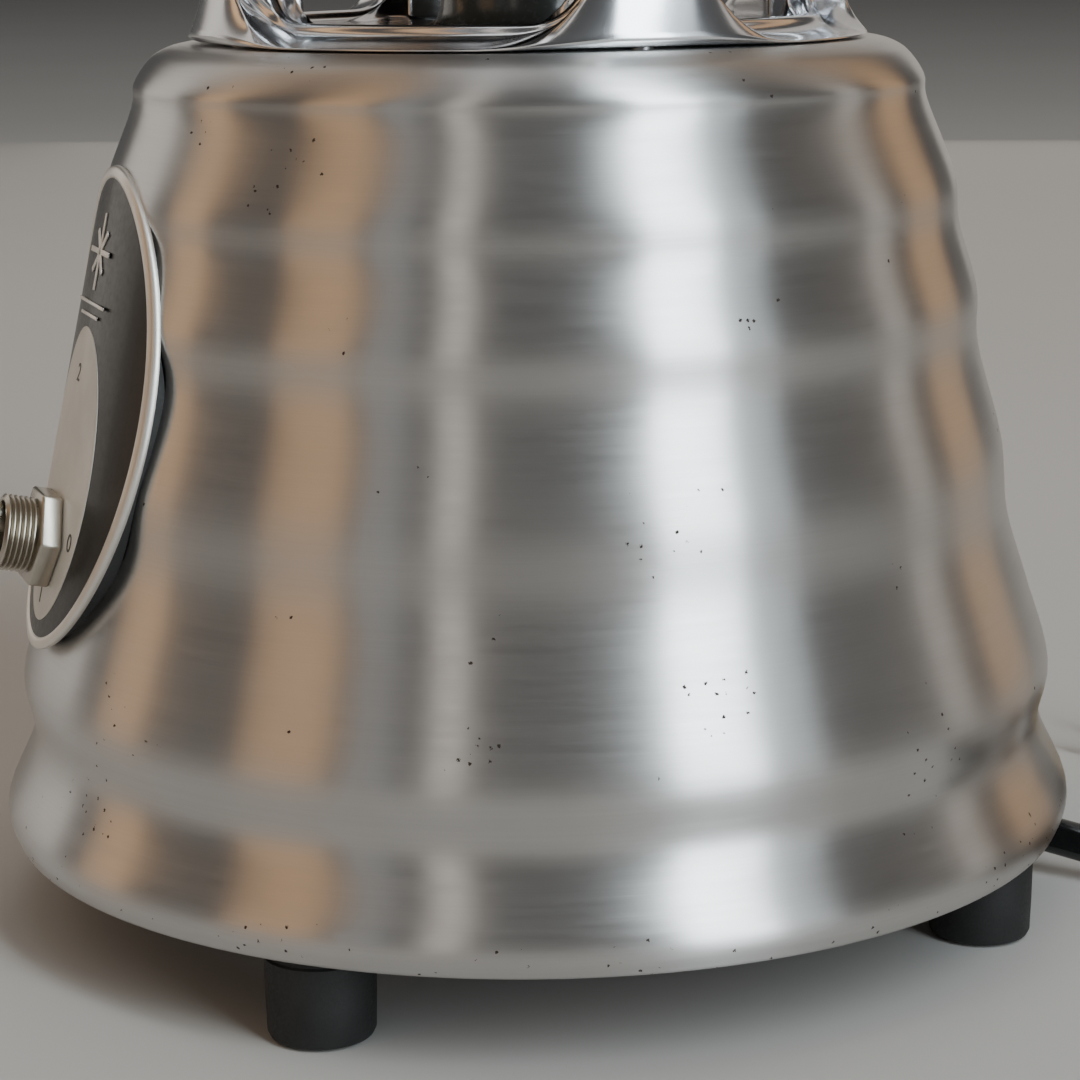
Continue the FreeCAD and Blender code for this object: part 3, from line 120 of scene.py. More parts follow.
def finished(name, bm, material, body, replaced=(), corner=35, bevel=0.0, rounds=0):
    """Turn a bmesh into a piece of the blender that rides on a body."""
    mesh = bpy.data.meshes.new(name)
    bm.to_mesh(mesh)
    bm.free()
    mesh.shade_smooth()
    mesh.set_sharp_from_angle(angle=math.radians(corner))
    mesh.materials.append(material)
    piece = bpy.data.objects.new(name, mesh)
    bpy.context.scene.collection.objects.link(piece)
    if bevel:
        soften = piece.modifiers.new("soft_edges", "BEVEL")
        soften.width, soften.segments, soften.limit_method = bevel, 2, "ANGLE"
        soften.angle_limit, soften.harden_normals = math.radians(40), False
    if rounds:
        smooth = piece.modifiers.new("rounding", "SUBSURF")
        smooth.levels = smooth.render_levels = rounds
    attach(piece, body)
    if replaced:
        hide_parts(*replaced)
    return piece


def closed(bm):
    """Merge a mesh's seams and turn its faces outwards."""
    bmesh.ops.remove_doubles(bm, verts=bm.verts, dist=1e-6)
    bmesh.ops.recalc_face_normals(bm, faces=bm.faces)
    return bm


def turned(outline, steps=96, shut=True):
    """Spin an outline of (radius, height) corners, in millimetres, round Z."""
    bm = bmesh.new()
    corners = [bm.verts.new((radius * MM, 0, height * MM)) for radius, height in outline]
    pairs = list(zip(corners, corners[1:]))
    if shut:
        pairs.append((corners[-1], corners[0]))
    edges = [bm.edges.new(pair) for pair in pairs]
    bmesh.ops.spin(bm, geom=corners + edges, cent=(0, 0, 0), axis=(0, 0, 1), angle=math.tau, steps=steps,
                   use_merge=True)
    return closed(bm)


def moved(bm, matrix):
    bmesh.ops.transform(bm, matrix=matrix, verts=bm.verts)
    return bm


def added(bm, other):
    """Put another bmesh into this one."""
    mesh = bpy.data.meshes.new("part")
    other.to_mesh(mesh)
    other.free()
    bm.from_mesh(mesh)
    bpy.data.meshes.remove(mesh)
    return bm


def rounded_box(size, middle, rounding, segments=3):
    """A box with its edges rounded, in millimetres."""
    bm = bmesh.new()
    bmesh.ops.create_cube(bm, size=1)
    bmesh.ops.scale(bm, vec=Vector(size) * MM, verts=bm.verts)
    bmesh.ops.bevel(bm, geom=bm.edges[:], offset=rounding * MM, offset_type="OFFSET", segments=segments,
                    profile=0.5, affect="EDGES", material=-1)
    bmesh.ops.translate(bm, vec=Vector(middle) * MM, verts=bm.verts)
    return bm


def through(points, steps):
    """Points along a smooth line through the given ones, with so many steps to each."""
    ends = [points[0]] + list(points) + [points[-1]]
    line = []
    for before, here, there, after in zip(ends, ends[1:], ends[2:], ends[3:]):
        for index in range(steps):
            t = index / steps
            line.append(tuple(
                0.5 * (2 * b + (c - a) * t + (2 * a - 5 * b + 4 * c - d) * t ** 2
                       + (3 * b - a - 3 * c + d) * t ** 3)
                for a, b, c, d in zip(before, here, there, after)))
    return line + [tuple(points[-1])]


# ---- node groups and materials ---------------------------------------------------------------------

class Wiring:
    """Adds nodes to one node tree and links them."""

    def __init__(self, tree):
        self.tree = tree

    def add(self, kind, inputs=None, **settings):
        node = self.tree.nodes.new(kind)
        for name, value in settings.items():
            setattr(node, name, value)
        for name, value in (inputs or {}).items():
            if isinstance(value, bpy.types.NodeSocket):
                self.tree.links.new(value, node.inputs[name])
            else:
                node.inputs[name].default_value = value
        return node

    def math(self, operation, first, second=0.0, clamp=False):
        return self.add("ShaderNodeMath", {0: first, 1: second}, operation=operation,
                        use_clamp=clamp).outputs[0]

    def ramp(self, value, low, high, start=0.0, end=1.0):
        """A value brought from one range to another and held inside it."""
        return self.add("ShaderNodeMapRange", {"Value": value, "From Min": low, "From Max": high,
                                               "To Min": start, "To Max": end}).outputs[0]

    def noise(self, vector, scale, detail=3.0, roughness=0.55):
        return self.add("ShaderNodeTexNoise", {"Vector": vector, "Scale": scale, "Detail": detail,
                                               "Roughness": roughness}).outputs[0]

    def place(self):
        return self.add("ShaderNodeTexCoord").outputs["Object"]

    def blend(self, share, first, second):
        mix = self.add("ShaderNodeMix", data_type="RGBA")
        for socket, value in ((mix.inputs["Factor"], share), (mix.inputs[6], first), (mix.inputs[7], second)):
            if isinstance(value, bpy.types.NodeSocket):
                self.tree.links.new(value, socket)
            else:
                socket.default_value = value
        return mix.outputs[2]


def effect(name, inputs, outputs):
    """A new node group with named number inputs and with value or normal outputs."""
    tree = bpy.data.node_groups.new(name, "ShaderNodeTree")
    for label, value in inputs.items():
        tree.interface.new_socket(label, in_out="INPUT", socket_type="NodeSocketFloat").default_value = value
    for label in outputs:
        kind = "NodeSocketVector" if label == "Normal" else "NodeSocketFloat"
        tree.interface.new_socket(label, in_out="OUTPUT", socket_type=kind)
    wiring = Wiring(tree)
    return tree, wiring, wiring.add("NodeGroupInput").outputs


def close_effect(wiring, **values):
    wiring.add("NodeGroupOutput", values)


def around_axis(wiring):
    """Coordinates that run round the blender's axis and up its wall: cosine, sine and height."""
    split = wiring.add("ShaderNodeSeparateXYZ", {0: wiring.place()})
    x, y, z = split.outputs
    reach = wiring.math("POWER", wiring.math("ADD", wiring.math("MULTIPLY", x, x),
                                             wiring.math("MULTIPLY", y, y)), 0.5)
    return wiring.math("DIVIDE", x, reach), wiring.math("DIVIDE", y, reach), reach, z


def make_brush_lines():
    """Fine lines round the axis, as a grinding belt leaves them."""
    tree, wiring, given = effect("brush_lines", {"Pitch": 3000.0, "Length": 3.0, "Depth": 0.2},
                                 ("Shade", "Streak", "Normal"))
    cosine, sine, reach, height = around_axis(wiring)
    along = wiring.math("SUBTRACT", height, wiring.math("MULTIPLY", reach, 0.8))
    vector = wiring.add("ShaderNodeCombineXYZ", {
        "X": wiring.math("MULTIPLY", cosine, given["Length"]),
        "Y": wiring.math("MULTIPLY", sine, given["Length"]),
        "Z": wiring.math("MULTIPLY", along, given["Pitch"])}).outputs[0]
    fine = wiring.noise(vector, 1.0, 2.0)
    coarse_vector = wiring.add("ShaderNodeVectorMath", {0: vector, 1: (1.6, 1.6, 0.22)},
                               operation="MULTIPLY").outputs[0]
    coarse = wiring.noise(coarse_vector, 1.0, 3.0)
    shade = wiring.math("ADD", wiring.math("MULTIPLY", fine, 0.85), wiring.math("MULTIPLY", coarse, 0.15))
    bump = wiring.add("ShaderNodeBump", {"Height": shade, "Strength": given["Depth"],
                                         "Distance": 0.00004}).outputs[0]
    close_effect(wiring, Shade=shade, Streak=coarse, Normal=bump)
    return tree


def make_pits():
    """Small dark pits that gather in patches."""
    tree, wiring, given = effect("pits", {"Scale": 620.0, "Amount": 0.64, "Size": 0.2, "Rim": 0.0}, ("Mask",))
    place = wiring.place()
    cells = wiring.add("ShaderNodeTexVoronoi", {"Vector": place, "Scale": given["Scale"]})
    ragged = wiring.math("MULTIPLY", wiring.noise(place, 3400.0, 3.0), 0.5)
    near = wiring.math("LESS_THAN", wiring.math("ADD", cells.outputs["Distance"], ragged),
                       wiring.math("ADD", given["Size"], 0.2))
    chosen = wiring.math("GREATER_THAN", wiring.add("ShaderNodeSeparateColor",
                                                    {0: cells.outputs["Color"]}).outputs[0], 0.4)
    height = wiring.add("ShaderNodeSeparateXYZ", {0: place}).outputs[2]
    rim_share = wiring.ramp(height, 0.0165, 0.0215, given["Rim"], 0.0)
    patch = wiring.math("GREATER_THAN", wiring.math("ADD", wiring.noise(place, 70.0, 2.0), rim_share),
                        given["Amount"])
    close_effect(wiring, Mask=wiring.math("MULTIPLY", wiring.math("MULTIPLY", near, chosen), patch))
    return tree


def make_grain():
    """An even moulded or cast grain, with a slow change over the surface."""
    tree, wiring, given = effect("grain", {"Scale": 1500.0, "Depth": 0.2, "Cloud Scale": 30.0},
                                 ("Fine", "Cloud", "Normal"))
    place = wiring.place()
    fine = wiring.noise(place, given["Scale"], 4.0)
    cloud = wiring.noise(place, given["Cloud Scale"], 3.0)
    bump = wiring.add("ShaderNodeBump", {"Height": fine, "Strength": given["Depth"],
                                         "Distance": 0.00008}).outputs[0]
    close_effect(wiring, Fine=fine, Cloud=cloud, Normal=bump)
    return tree


def make_edge_wear():
    """Where an edge stands out and has been rubbed."""
    tree, wiring, given = effect("edge_wear", {"Start": 0.52, "End": 0.62}, ("Mask",))
    edges = wiring.add("ShaderNodeNewGeometry").outputs["Pointiness"]
    patchy = wiring.math("MULTIPLY", wiring.noise(wiring.place(), 180.0, 4.0), 0.06)
    value = wiring.add("ShaderNodeMapRange", {
        "Value": wiring.math("SUBTRACT", wiring.math("ADD", edges, patchy), 0.03),
        "From Min": given["Start"], "From Max": given["End"]}).outputs[0]
    close_effect(wiring, Mask=value)
    return tree


BRUSH_LINES, PITS, GRAIN, EDGE_WEAR = make_brush_lines(), make_pits(), make_grain(), make_edge_wear()


def new_material(name, **plain):
    """A material with one Principled shader and its plain values."""
    material = bpy.data.materials.new(name)
    material.use_nodes = True
    shader = material.node_tree.nodes["Principled BSDF"]
    for label, value in plain.items():
        shader.inputs[label.replace("_", " ")].default_value = value
    return material, Wiring(material.node_tree), shader


def use(wiring, tree, **values):
    group = wiring.add("ShaderNodeGroup", node_tree=tree)
    for label, value in values.items():
        group.inputs[label.replace("_", " ")].default_value = value
    return group.outputs


def join(wiring, shader, **sockets):
    for label, socket in sockets.items():
        wiring.tree.links.new(socket, shader.inputs[label.replace("_", " ")])


def brushed_steel(name, light, dark, rough, anisotropic, pitch, depth, pit_amount, rim_pits=0.0):
    """Steel with lines round the axis and a scatter of rust pits."""
    material, wiring, shader = new_material(name, Metallic=1.0, Anisotropic=anisotropic,
                                            Anisotropic_Rotation=0.25)
    tangent = wiring.add("ShaderNodeTangent", direction_type="RADIAL", axis="Z").outputs[0]
    lines = use(wiring, BRUSH_LINES, Pitch=pitch, Depth=depth)
    cloud = use(wiring, GRAIN, Cloud_Scale=26.0)
    pits = use(wiring, PITS, Amount=pit_amount, Rim=rim_pits)["Mask"]
    metal = wiring.blend(lines["Shade"], dark, light)
    stain = wiring.ramp(cloud["Cloud"], 0.52, 0.74, 0.0, 0.16)
    tinted = wiring.blend(stain, metal, (0.44, 0.38, 0.33, 1))
    coloured = wiring.blend(pits, tinted, (0.035, 0.022, 0.016, 1))
    polish = wiring.ramp(lines["Streak"], 0.3, 0.7, rough - 0.015, rough + 0.02)
    roughness = wiring.math("ADD", polish, wiring.math("MULTIPLY", pits, 0.5), clamp=True)
    shine = wiring.math("SUBTRACT", 1.0, wiring.math("MULTIPLY", pits, 0.9), clamp=True)
    join(wiring, shader, Base_Color=coloured, Roughness=roughness, Normal=lines["Normal"], Metallic=shine,
         Tangent=tangent)
    return material


def polished(name, light, dull, rough, grain_depth=0.03, wear=None):
    """Plated or polished metal with faint smudges, and wear on its edges where a colour is given."""
    material, wiring, shader = new_material(name, Metallic=1.0)
    grain = use(wiring, GRAIN, Scale=900.0, Depth=grain_depth, Cloud_Scale=60.0)
    smudge = wiring.ramp(grain["Cloud"], 0.35, 0.75)
    colour = wiring.blend(smudge, light, dull)
    if wear:
        colour = wiring.blend(use(wiring, EDGE_WEAR)["Mask"], colour, wear)
    roughness = wiring.ramp(grain["Cloud"], 0.3, 0.8, rough, rough * 1.9)
    join(wiring, shader, Base_Color=colour, Roughness=roughness, Normal=grain["Normal"])
    return material


def moulded(name, colour, worn, rough, coat=0.0, scale=1500.0, depth=0.2):
    """Plastic, rubber or enamel with a fine grain and lighter, rubbed edges."""
    material, wiring, shader = new_material(name, Coat_Weight=coat, Coat_Roughness=0.08)
    grain = use(wiring, GRAIN, Scale=scale, Depth=depth, Cloud_Scale=45.0)
    slight = tuple(part * 1.35 + 0.004 for part in colour[:3]) + (1,)
    base = wiring.blend(wiring.ramp(grain["Cloud"], 0.35, 0.7), colour, slight)
    edged = wiring.blend(wiring.math("MULTIPLY", use(wiring, EDGE_WEAR)["Mask"], 0.6), base, worn)
    roughness = wiring.ramp(grain["Fine"], 0.3, 0.7, rough * 0.85, min(1.0, rough * 1.15))
    join(wiring, shader, Base_Color=edged, Roughness=roughness, Normal=grain["Normal"])
    return material


SHELL_STEEL = brushed_steel("shell_steel", (0.64, 0.63, 0.62, 1), (0.57, 0.56, 0.55, 1), 0.31, 0.93,
                            3200.0, 0.30, 0.62, 0.16)
BLADE_STEEL = brushed_steel("blade_steel", (0.72, 0.72, 0.72, 1), (0.55, 0.55, 0.55, 1), 0.22, 0.3,
                            5200.0, 0.2, 0.95)
CHROME = polished("bright_chrome", (0.80, 0.81, 0.83, 1), (0.68, 0.68, 0.70, 1), 0.12)
BADGE_SILVER = polished("badge_silver", (0.90, 0.87, 0.82, 1), (0.76, 0.73, 0.68, 1), 0.30, 0.08)
NICKEL = polished("switch_nickel", (0.56, 0.52, 0.45, 1), (0.34, 0.30, 0.24, 1), 0.20, 0.12,
                  (0.72, 0.69, 0.63, 1))
FASTENER = polished("fastener_steel", (0.60, 0.60, 0.61, 1), (0.47, 0.46, 0.45, 1), 0.24, 0.15)
BRONZE = polished("bearing_bronze", (0.70, 0.52, 0.26, 1), (0.52, 0.38, 0.20, 1), 0.25, 0.15)
COPPER = polished("copper_winding", (0.62, 0.27, 0.12, 1), (0.44, 0.17, 0.07, 1), 0.33, 0.4)
ALUMINIUM = polished("bracket_aluminium", (0.66, 0.66, 0.67, 1), (0.52, 0.52, 0.53, 1), 0.42, 0.5)
CORE_STEEL = polished("core_steel", (0.24, 0.24, 0.25, 1), (0.16, 0.15, 0.15, 1), 0.45, 0.4)
RUBBER = moulded("black_rubber", (0.006, 0.006, 0.006, 1), (0.04, 0.04, 0.04, 1), 0.62, 0.0, 2200.0, 0.3)
BASE_PAINT = moulded("base_black", (0.02, 0.02, 0.021, 1), (0.20, 0.19, 0.18, 1), 0.42, 0.1, 1400.0, 0.3)
ENAMEL = moulded("badge_enamel", (0.006, 0.006, 0.006, 1), (0.02, 0.02, 0.02, 1), 0.34, 0.12, 900.0, 0.04)
HUB_GLOSS = moulded("hub_gloss", (0.15, 0.165, 0.155, 1), (0.24, 0.25, 0.24, 1), 0.26, 0.4, 900.0, 0.05)
BADGE_IVORY = moulded("badge_ivory", (0.62, 0.60, 0.545, 1), (0.72, 0.70, 0.65, 1), 0.36, 0.2, 1200.0, 0.02)
NUT_PLASTIC = moulded("nut_plastic", (0.010, 0.010, 0.011, 1), (0.06, 0.06, 0.06, 1), 0.24, 0.5, 1300.0, 0.1)
PHENOLIC = moulded("switch_plastic", (0.045, 0.030, 0.022, 1), (0.12, 0.09, 0.07, 1), 0.45)
CARBON = moulded("carbon", (0.02, 0.02, 0.02, 1), (0.08, 0.08, 0.08, 1), 0.7)
HUB_DARK = moulded("hub_dark", (0.05, 0.055, 0.052, 1), (0.16, 0.16, 0.15, 1), 0.4, 0.1)
CORD_VINYL = moulded("cord_black", (0.006, 0.006, 0.006, 1), (0.03, 0.03, 0.03, 1), 0.22, 0.35, 800.0, 0.06)
WIRE_VINYL = moulded("wire_black", (0.02, 0.02, 0.02, 1), (0.05, 0.05, 0.05, 1), 0.35)
MARK_INK = moulded("mark_ink", (0.045, 0.045, 0.045, 1), (0.10, 0.10, 0.10, 1), 0.5)


def clear_glass():
    """Pressed glass with slow waves left by the mould."""
    material, wiring, shader = new_material("clear_glass", Transmission_Weight=1.0, IOR=1.48, Metallic=0.0)
    grain = use(wiring, GRAIN, Scale=70.0, Depth=0.10, Cloud_Scale=20.0)
    colour = wiring.blend(grain["Cloud"], (0.96, 0.985, 0.975, 1), (0.93, 0.97, 0.955, 1))
    roughness = wiring.ramp(grain["Cloud"], 0.3, 0.7, 0.0, 0.03)
    join(wiring, shader, Base_Color=colour, Roughness=roughness, Normal=grain["Normal"])
    return material


GLASS = clear_glass()

CAD_FINISHES = {
    BASE_PAINT: ("base_plate",),
    # badge_gasket: black rubber backing behind the badge. Its black edge in the gap at the badge's rim is
    # also painted shade for the shadow in that gap.
    RUBBER: ("badge_gasket", "jar_gasket", "drive_socket", "cord_gland"),
    FASTENER: ("collar_screws", "base_screws", "motor_bolts", "motor_shaft", "drive_stud", "brush_springs",
               "blade_spindle", "blade_bearing_housing", "blade_cap_nut"),
    BLADE_STEEL: ("lower_blades", "upper_blades"),
    ALUMINIUM: ("standoffs", "upper_motor_bracket", "lower_motor_bracket", "cooling_fan"),
    CORE_STEEL: ("stator_core", "armature_core"),
    COPPER: ("field_coils", "armature_winding", "commutator"),
    BRONZE: ("upper_bearing", "lower_bearing", "brush_holders", "switch_terminals", "blade_bushing"),
    CARBON: ("carbon_brushes",),
    PHENOLIC: ("brush_caps", "switch_body", "speed_diode"),
    HUB_DARK: ("slinger_washer",),
    WIRE_VINYL: ("supply_wires",),
    NICKEL: ("switch_washer",),
}
for finish, names in CAD_FINISHES.items():
    for name in names:
        nodes[name].data.materials.clear()
        nodes[name].data.materials.append(finish)

# ---- floor -----------------------------------------------------------------------------------------

FLOOR_HALF = 9.0
floor_bm = bmesh.new()
bmesh.ops.create_grid(floor_bm, x_segments=1, y_segments=1, size=FLOOR_HALF)
bmesh.ops.translate(floor_bm, vec=(0, 0, -0.2 * MM), verts=floor_bm.verts)
floor_mesh = bpy.data.meshes.new("floor")
floor_bm.to_mesh(floor_mesh)
floor_bm.free()
floor = bpy.data.objects.new("floor", floor_mesh)
bpy.context.scene.collection.objects.link(floor)
floor_paint, floor_wiring, floor_shader = new_material("floor_paint", Roughness=0.7)
floor_cloud = use(floor_wiring, GRAIN, Scale=240.0, Depth=0.02, Cloud_Scale=3.0)
join(floor_wiring, floor_shader, Base_Color=floor_wiring.blend(
    floor_cloud["Cloud"], (0.55, 0.53, 0.50, 1), (0.59, 0.57, 0.54, 1)), Normal=floor_cloud["Normal"])
floor_mesh.materials.append(floor_paint)

# ---- cord ------------------------------------------------------------------------------------------

CORD_WIDTH, CORD_THICKNESS = 6.2, 3.6
CORD_ROUTE = ((20.1, 66.8, 8.6), (33.6, 77.7, 7.2), (49.0, 91.2, 4.0), (64.0, 101.2, 2.1),
              (78.0, 107.8, 2.1))
TAIL_ROUTE = ((28.0, 167.0, 3.1), (18.5, 158.2, 4.6), (8.7, 150.7, 6.5))
CORD_TWISTS = (80, 80, 65, 25, 0)
COIL_CENTRE, COIL_RADIUS, COIL_TURNS = (57.0, 143.0), 34.0, 3.72
COIL_LANES = ((3.1, 1.9), (-3.1, 1.9), (-2.9, 5.6), (2.9, 5.6))
COIL_START, LANE_CHANGE = 20, 0.72
LOOP_POINTS = 14


def coil_turns():
    """Turns that lie beside and on each other, in millimetres, from the cord's end to the tail."""
    begin = math.degrees(math.atan2(CORD_ROUTE[-1][1] - COIL_CENTRE[1], CORD_ROUTE[-1][0] - COIL_CENTRE[0]))
    points = []
    for index, (lane, height) in enumerate(COIL_LANES):
        for step in range(LOOP_POINTS):
            share = step / LOOP_POINTS
            if index + share > COIL_TURNS:
                break
            if index + 1 < len(COIL_LANES):
                beyond = max(0.0, (share - LANE_CHANGE) / (1 - LANE_CHANGE))
                lane_now = lane + (COIL_LANES[index + 1][0] - lane) * beyond
                height_now = height + (COIL_LANES[index + 1][1] - height) * beyond
            else:
                lane_now, height_now = lane, height
            angle = math.radians(begin + COIL_START + 360 * (index + share))
            radius = COIL_RADIUS + lane_now
            points.append((COIL_CENTRE[0] + radius * math.cos(angle), COIL_CENTRE[1]
                           + radius * math.sin(angle), height_now))
    return points


def nurbs_line(name, points, twists=()):
    curve = bpy.data.curves.new(name, "CURVE")
    curve.dimensions, curve.resolution_u, curve.twist_mode = "3D", 10, "Z_UP"
    spline = curve.splines.new("NURBS")
    spline.points.add(len(points) - 1)
    for point, spot in zip(spline.points, points):
        point.co = (*(Vector(spot) * MM), 1)
    for point, twist in zip(spline.points, twists):
        point.tilt = math.radians(twist)
    spline.order_u = 3
    spline.use_endpoint_u = True
    return bpy.data.objects.new(name, curve)


def cord_section():
    """Two lobes side by side, as a closed flat curve."""
    curve = bpy.data.curves.new("cord_section", "CURVE")
    curve.dimensions, curve.resolution_u = "2D", 2
    spline = curve.splines.new("POLY")
    lobe, offset = CORD_THICKNESS / 2, CORD_WIDTH / 2 - CORD_THICKNESS / 2
    spots = []
    for side, start in ((1, -90), (-1, 90)):
        for step in range(9):
            angle = math.radians(start + 180 * step / 8)
            spots.append((side * offset + lobe * math.cos(angle), lobe * math.sin(angle)))
        spots.append((0, side * lobe * 0.62))
    spline.points.add(len(spots) - 1)
    for point, (across, up) in zip(spline.points, spots):
        point.co = (across * MM, up * MM, 0, 1)
    spline.use_cyclic_u = True
    return bpy.data.objects.new("cord_section", curve)


def make_cord():
    route = list(CORD_ROUTE) + coil_turns() + list(TAIL_ROUTE)
    line = nurbs_line("cord_line", route, CORD_TWISTS)
    bare = bpy.data.meshes.new_from_object(line)
    path = [tuple(vertex.co) for vertex in bare.vertices]
    section = cord_section()
    line.data.bevel_mode, line.data.bevel_object, line.data.use_fill_caps = "OBJECT", section, True
    for helper in (line, section):
        bpy.context.scene.collection.objects.link(helper)
    bpy.context.view_layer.update()
    solid = line.evaluated_get(bpy.context.evaluated_depsgraph_get())
    bm = bmesh.new()
    bm.from_mesh(bpy.data.meshes.new_from_object(solid))
    for helper in (line, section):
        bpy.data.objects.remove(helper)
    piece = finished("cord", closed(bm), CORD_VINYL, "base", ("power_cord", "cord_coil", "cord_tail"),
                     corner=60)
    length = sum((Vector(b) - Vector(a)).length for a, b in zip(path, path[1:]))
    return piece, path, length


cord, cord_path, cord_length = make_cord()

# ---- shell and collar ------------------------------------------------------------------------------

RIM, SHELL_TOP, SHELL_RADIUS, SHELL_WALL = 14.3, 139.4, 87.7, 1.2
RIBS = ((0.0, 0.9), (0.039, 0.0), (0.129, 4.7), (0.205, 3.5), (0.303, 7.1), (0.397, 10.6), (0.493, 11.8),
        (0.613, 15.8), (0.685, 16.2), (0.769, 19.2), (0.829, 20.0), (0.921, 24.5), (0.953, 25.1),
        (0.982, 27.6), (0.995, 30.2), (1.0, 32.6))


def make_shell():
    points = [(SHELL_RADIUS - step, RIM + share * (SHELL_TOP - RIM)) for share, step in RIBS]
    outside = through(points, 6)
    inside = [(radius - SHELL_WALL, height) for radius, height in outside[6:-14:4]]
    hem = [(SHELL_RADIUS - 2.5, RIM + 0.9), (SHELL_RADIUS - 2.2, RIM - 0.1), (SHELL_RADIUS - 1.4, RIM - 0.2)]
    under = SHELL_TOP - SHELL_WALL
    top = [(50.0, SHELL_TOP), (38.0, SHELL_TOP), (38.0, under), (54.0, under)]
    outline = outside + top + inside[::-1] + hem
    finished("ribbed_shell", turned(outline, 176), SHELL_STEEL, "base", ("housing_shell",),
             corner=60)


POST_HALF, POST_TOP, POST_CORNER = 8.2, 33.0, 3.6
SADDLE_LIP, SADDLE_BEND = 3.8, 8.0
WALL_MIDDLE, EIGHTH_STEPS = 46.4, 26


def saddle_edge(share):
    """The wall's top edge from a post's middle to a saddle's: place along, height and facing."""
    flat, corner = POST_HALF - POST_CORNER, POST_CORNER * math.pi / 2
    side = POST_TOP - POST_CORNER - SADDLE_LIP - SADDLE_BEND
    bend = SADDLE_BEND * math.pi / 2
    last = math.tau * WALL_MIDDLE / 8 - POST_HALF - SADDLE_BEND
    run = share * (flat + corner + side + bend + last)
    if run <= flat:
        return run, POST_TOP, 0.0, 1.0
    run -= flat
    if run <= corner:
        turn = run / POST_CORNER
        return (flat + POST_CORNER * math.sin(turn), POST_TOP - POST_CORNER * (1 - math.cos(turn)),
                math.sin(turn), math.cos(turn))
    run -= corner
    if run <= side:
        return POST_HALF, POST_TOP - POST_CORNER - run, 1.0, 0.0
    run -= side
    if run <= bend:
        turn = run / SADDLE_BEND
        return (POST_HALF + SADDLE_BEND * (1 - math.cos(turn)),
                SADDLE_LIP + SADDLE_BEND * (1 - math.sin(turn)), math.cos(turn), math.sin(turn))
    return POST_HALF + SADDLE_BEND + run - bend, SADDLE_LIP, 0.0, 1.0


def eased(low, high, value):
    share = min(1.0, max(0.0, (value - low) / (high - low)))
    return share * share * (3 - 2 * share)


def mixed(first, second, share):
    return first + (second - first) * share


# Each row of the collar's wall, from its foot over the top edge to the well: how far up the wall it is,
# how far round the rounded edge in degrees, and its radius at a saddle and at a post.
COLLAR_ROWS = ((0.0, None, 54.0, 54.0), (0.03, None, 53.9, 54.0), (0.12, None, 52.2, 52.9),
               (0.3, None, 49.4, 51.5), (0.6, None, 47.4, 50.9), (1.0, 0, 46.5, 50.8), (1.0, 30, 46.5, 50.8),
               (1.0, 60, 46.5, 50.8), (1.0, 90, 46.5, 50.8), (1.0, 90, 43.6, 42.1), (1.0, 60, 43.6, 42.1),
               (1.0, 30, 43.6, 42.1), (1.0, 0, 43.6, 42.1), (0.6, None, 43.2, 42.1), (0.3, None, 42.4, 42.0))
WELL_ROWS = ((40.6, 2.0), (38.0, 1.8), (12.0, 1.8), (12.0, 0.0))


def collar_spot(row, angle):
    """Where one corner of the collar goes, from its row and its place round the axis."""
    position = (angle / math.tau * 8 * EIGHTH_STEPS) % (2 * EIGHTH_STEPS) / EIGHTH_STEPS
    share, sign = (position, 1) if position <= 1 else (2 - position, -1)
    middle = round(angle / (math.pi / 2)) * math.pi / 2
    along, height, across, upward = saddle_edge(share)
    foot = share * math.tau * WALL_MIDDLE / 8
    if row >= len(COLLAR_ROWS):
        radius, level = WELL_ROWS[row - len(COLLAR_ROWS)]
        spot = foot
    else:
        rise, round_turn, saddle_radius, post_radius = COLLAR_ROWS[row]
        is_post = eased(SADDLE_LIP, SADDLE_LIP + 9.0, height)
        rounding = mixed(1.1, 4.1, is_post)
        radius = mixed(saddle_radius, post_radius, is_post)
        inner_side = row > 8
        edge_along, edge_height = along - across * rounding, height - upward * rounding
        if round_turn is None:
            base = 1.9 if inner_side else 0.5
            spot, level = mixed(foot, edge_along, rise), mixed(base, edge_height, rise)
            if row == 0:
                level = 0.0
        else:
            turn = math.radians(round_turn)
            spot = edge_along + across * rounding * math.sin(turn)
            level = edge_height + upward * rounding * math.sin(turn)
            radius -= (-1 if inner_side else 1) * rounding * (1 - math.cos(turn))
    place = middle + sign * spot / WALL_MIDDLE
    return Vector((radius * math.cos(place), radius * math.sin(place), SHELL_TOP + level)) * MM


def make_collar():
    rows = len(COLLAR_ROWS) + len(WELL_ROWS)
    bm = turned([(10.0 + row, 0.0 if row else 1.0) for row in range(rows)], 8 * EIGHTH_STEPS)
    for vertex in bm.verts:
        reach = math.hypot(vertex.co.x, vertex.co.y) / MM
        vertex.co = collar_spot(round(reach - 10.0), math.atan2(vertex.co.y, vertex.co.x))
    bmesh.ops.recalc_face_normals(bm, faces=bm.faces)
    for index in range(4):
        ledge = rounded_box((4.2, 14.6, 9.6), (40.9, 0, SHELL_TOP + 6.2), 0.9)
        added(bm, moved(ledge, Matrix.Rotation(math.pi / 2 * index, 4, "Z")))
    finished("jar_collar_casting", bm, CHROME, "base", ("jar_collar",), corner=75, rounds=1)
    hub = turned([(4.3, SHELL_TOP + 1.0), (17.5, SHELL_TOP + 1.0), (17.2, SHELL_TOP + 2.0)]
                 + through([(16.6, SHELL_TOP + 2.3), (14.7, SHELL_TOP + 3.2), (14.0, SHELL_TOP + 5.4),
                            (13.9, SHELL_TOP + 8.6), (13.2, SHELL_TOP + 10.0), (11.8, SHELL_TOP + 10.6)], 4)
                 + [(9.6, SHELL_TOP + 10.6), (9.2, SHELL_TOP + 10.2), (4.3, SHELL_TOP + 10.2)], 72)
    finished("collar_hub", hub, HUB_GLOSS, "base", ("jar_collar",), corner=50)


# ---- badge -----------------------------------------------------------------------------------------

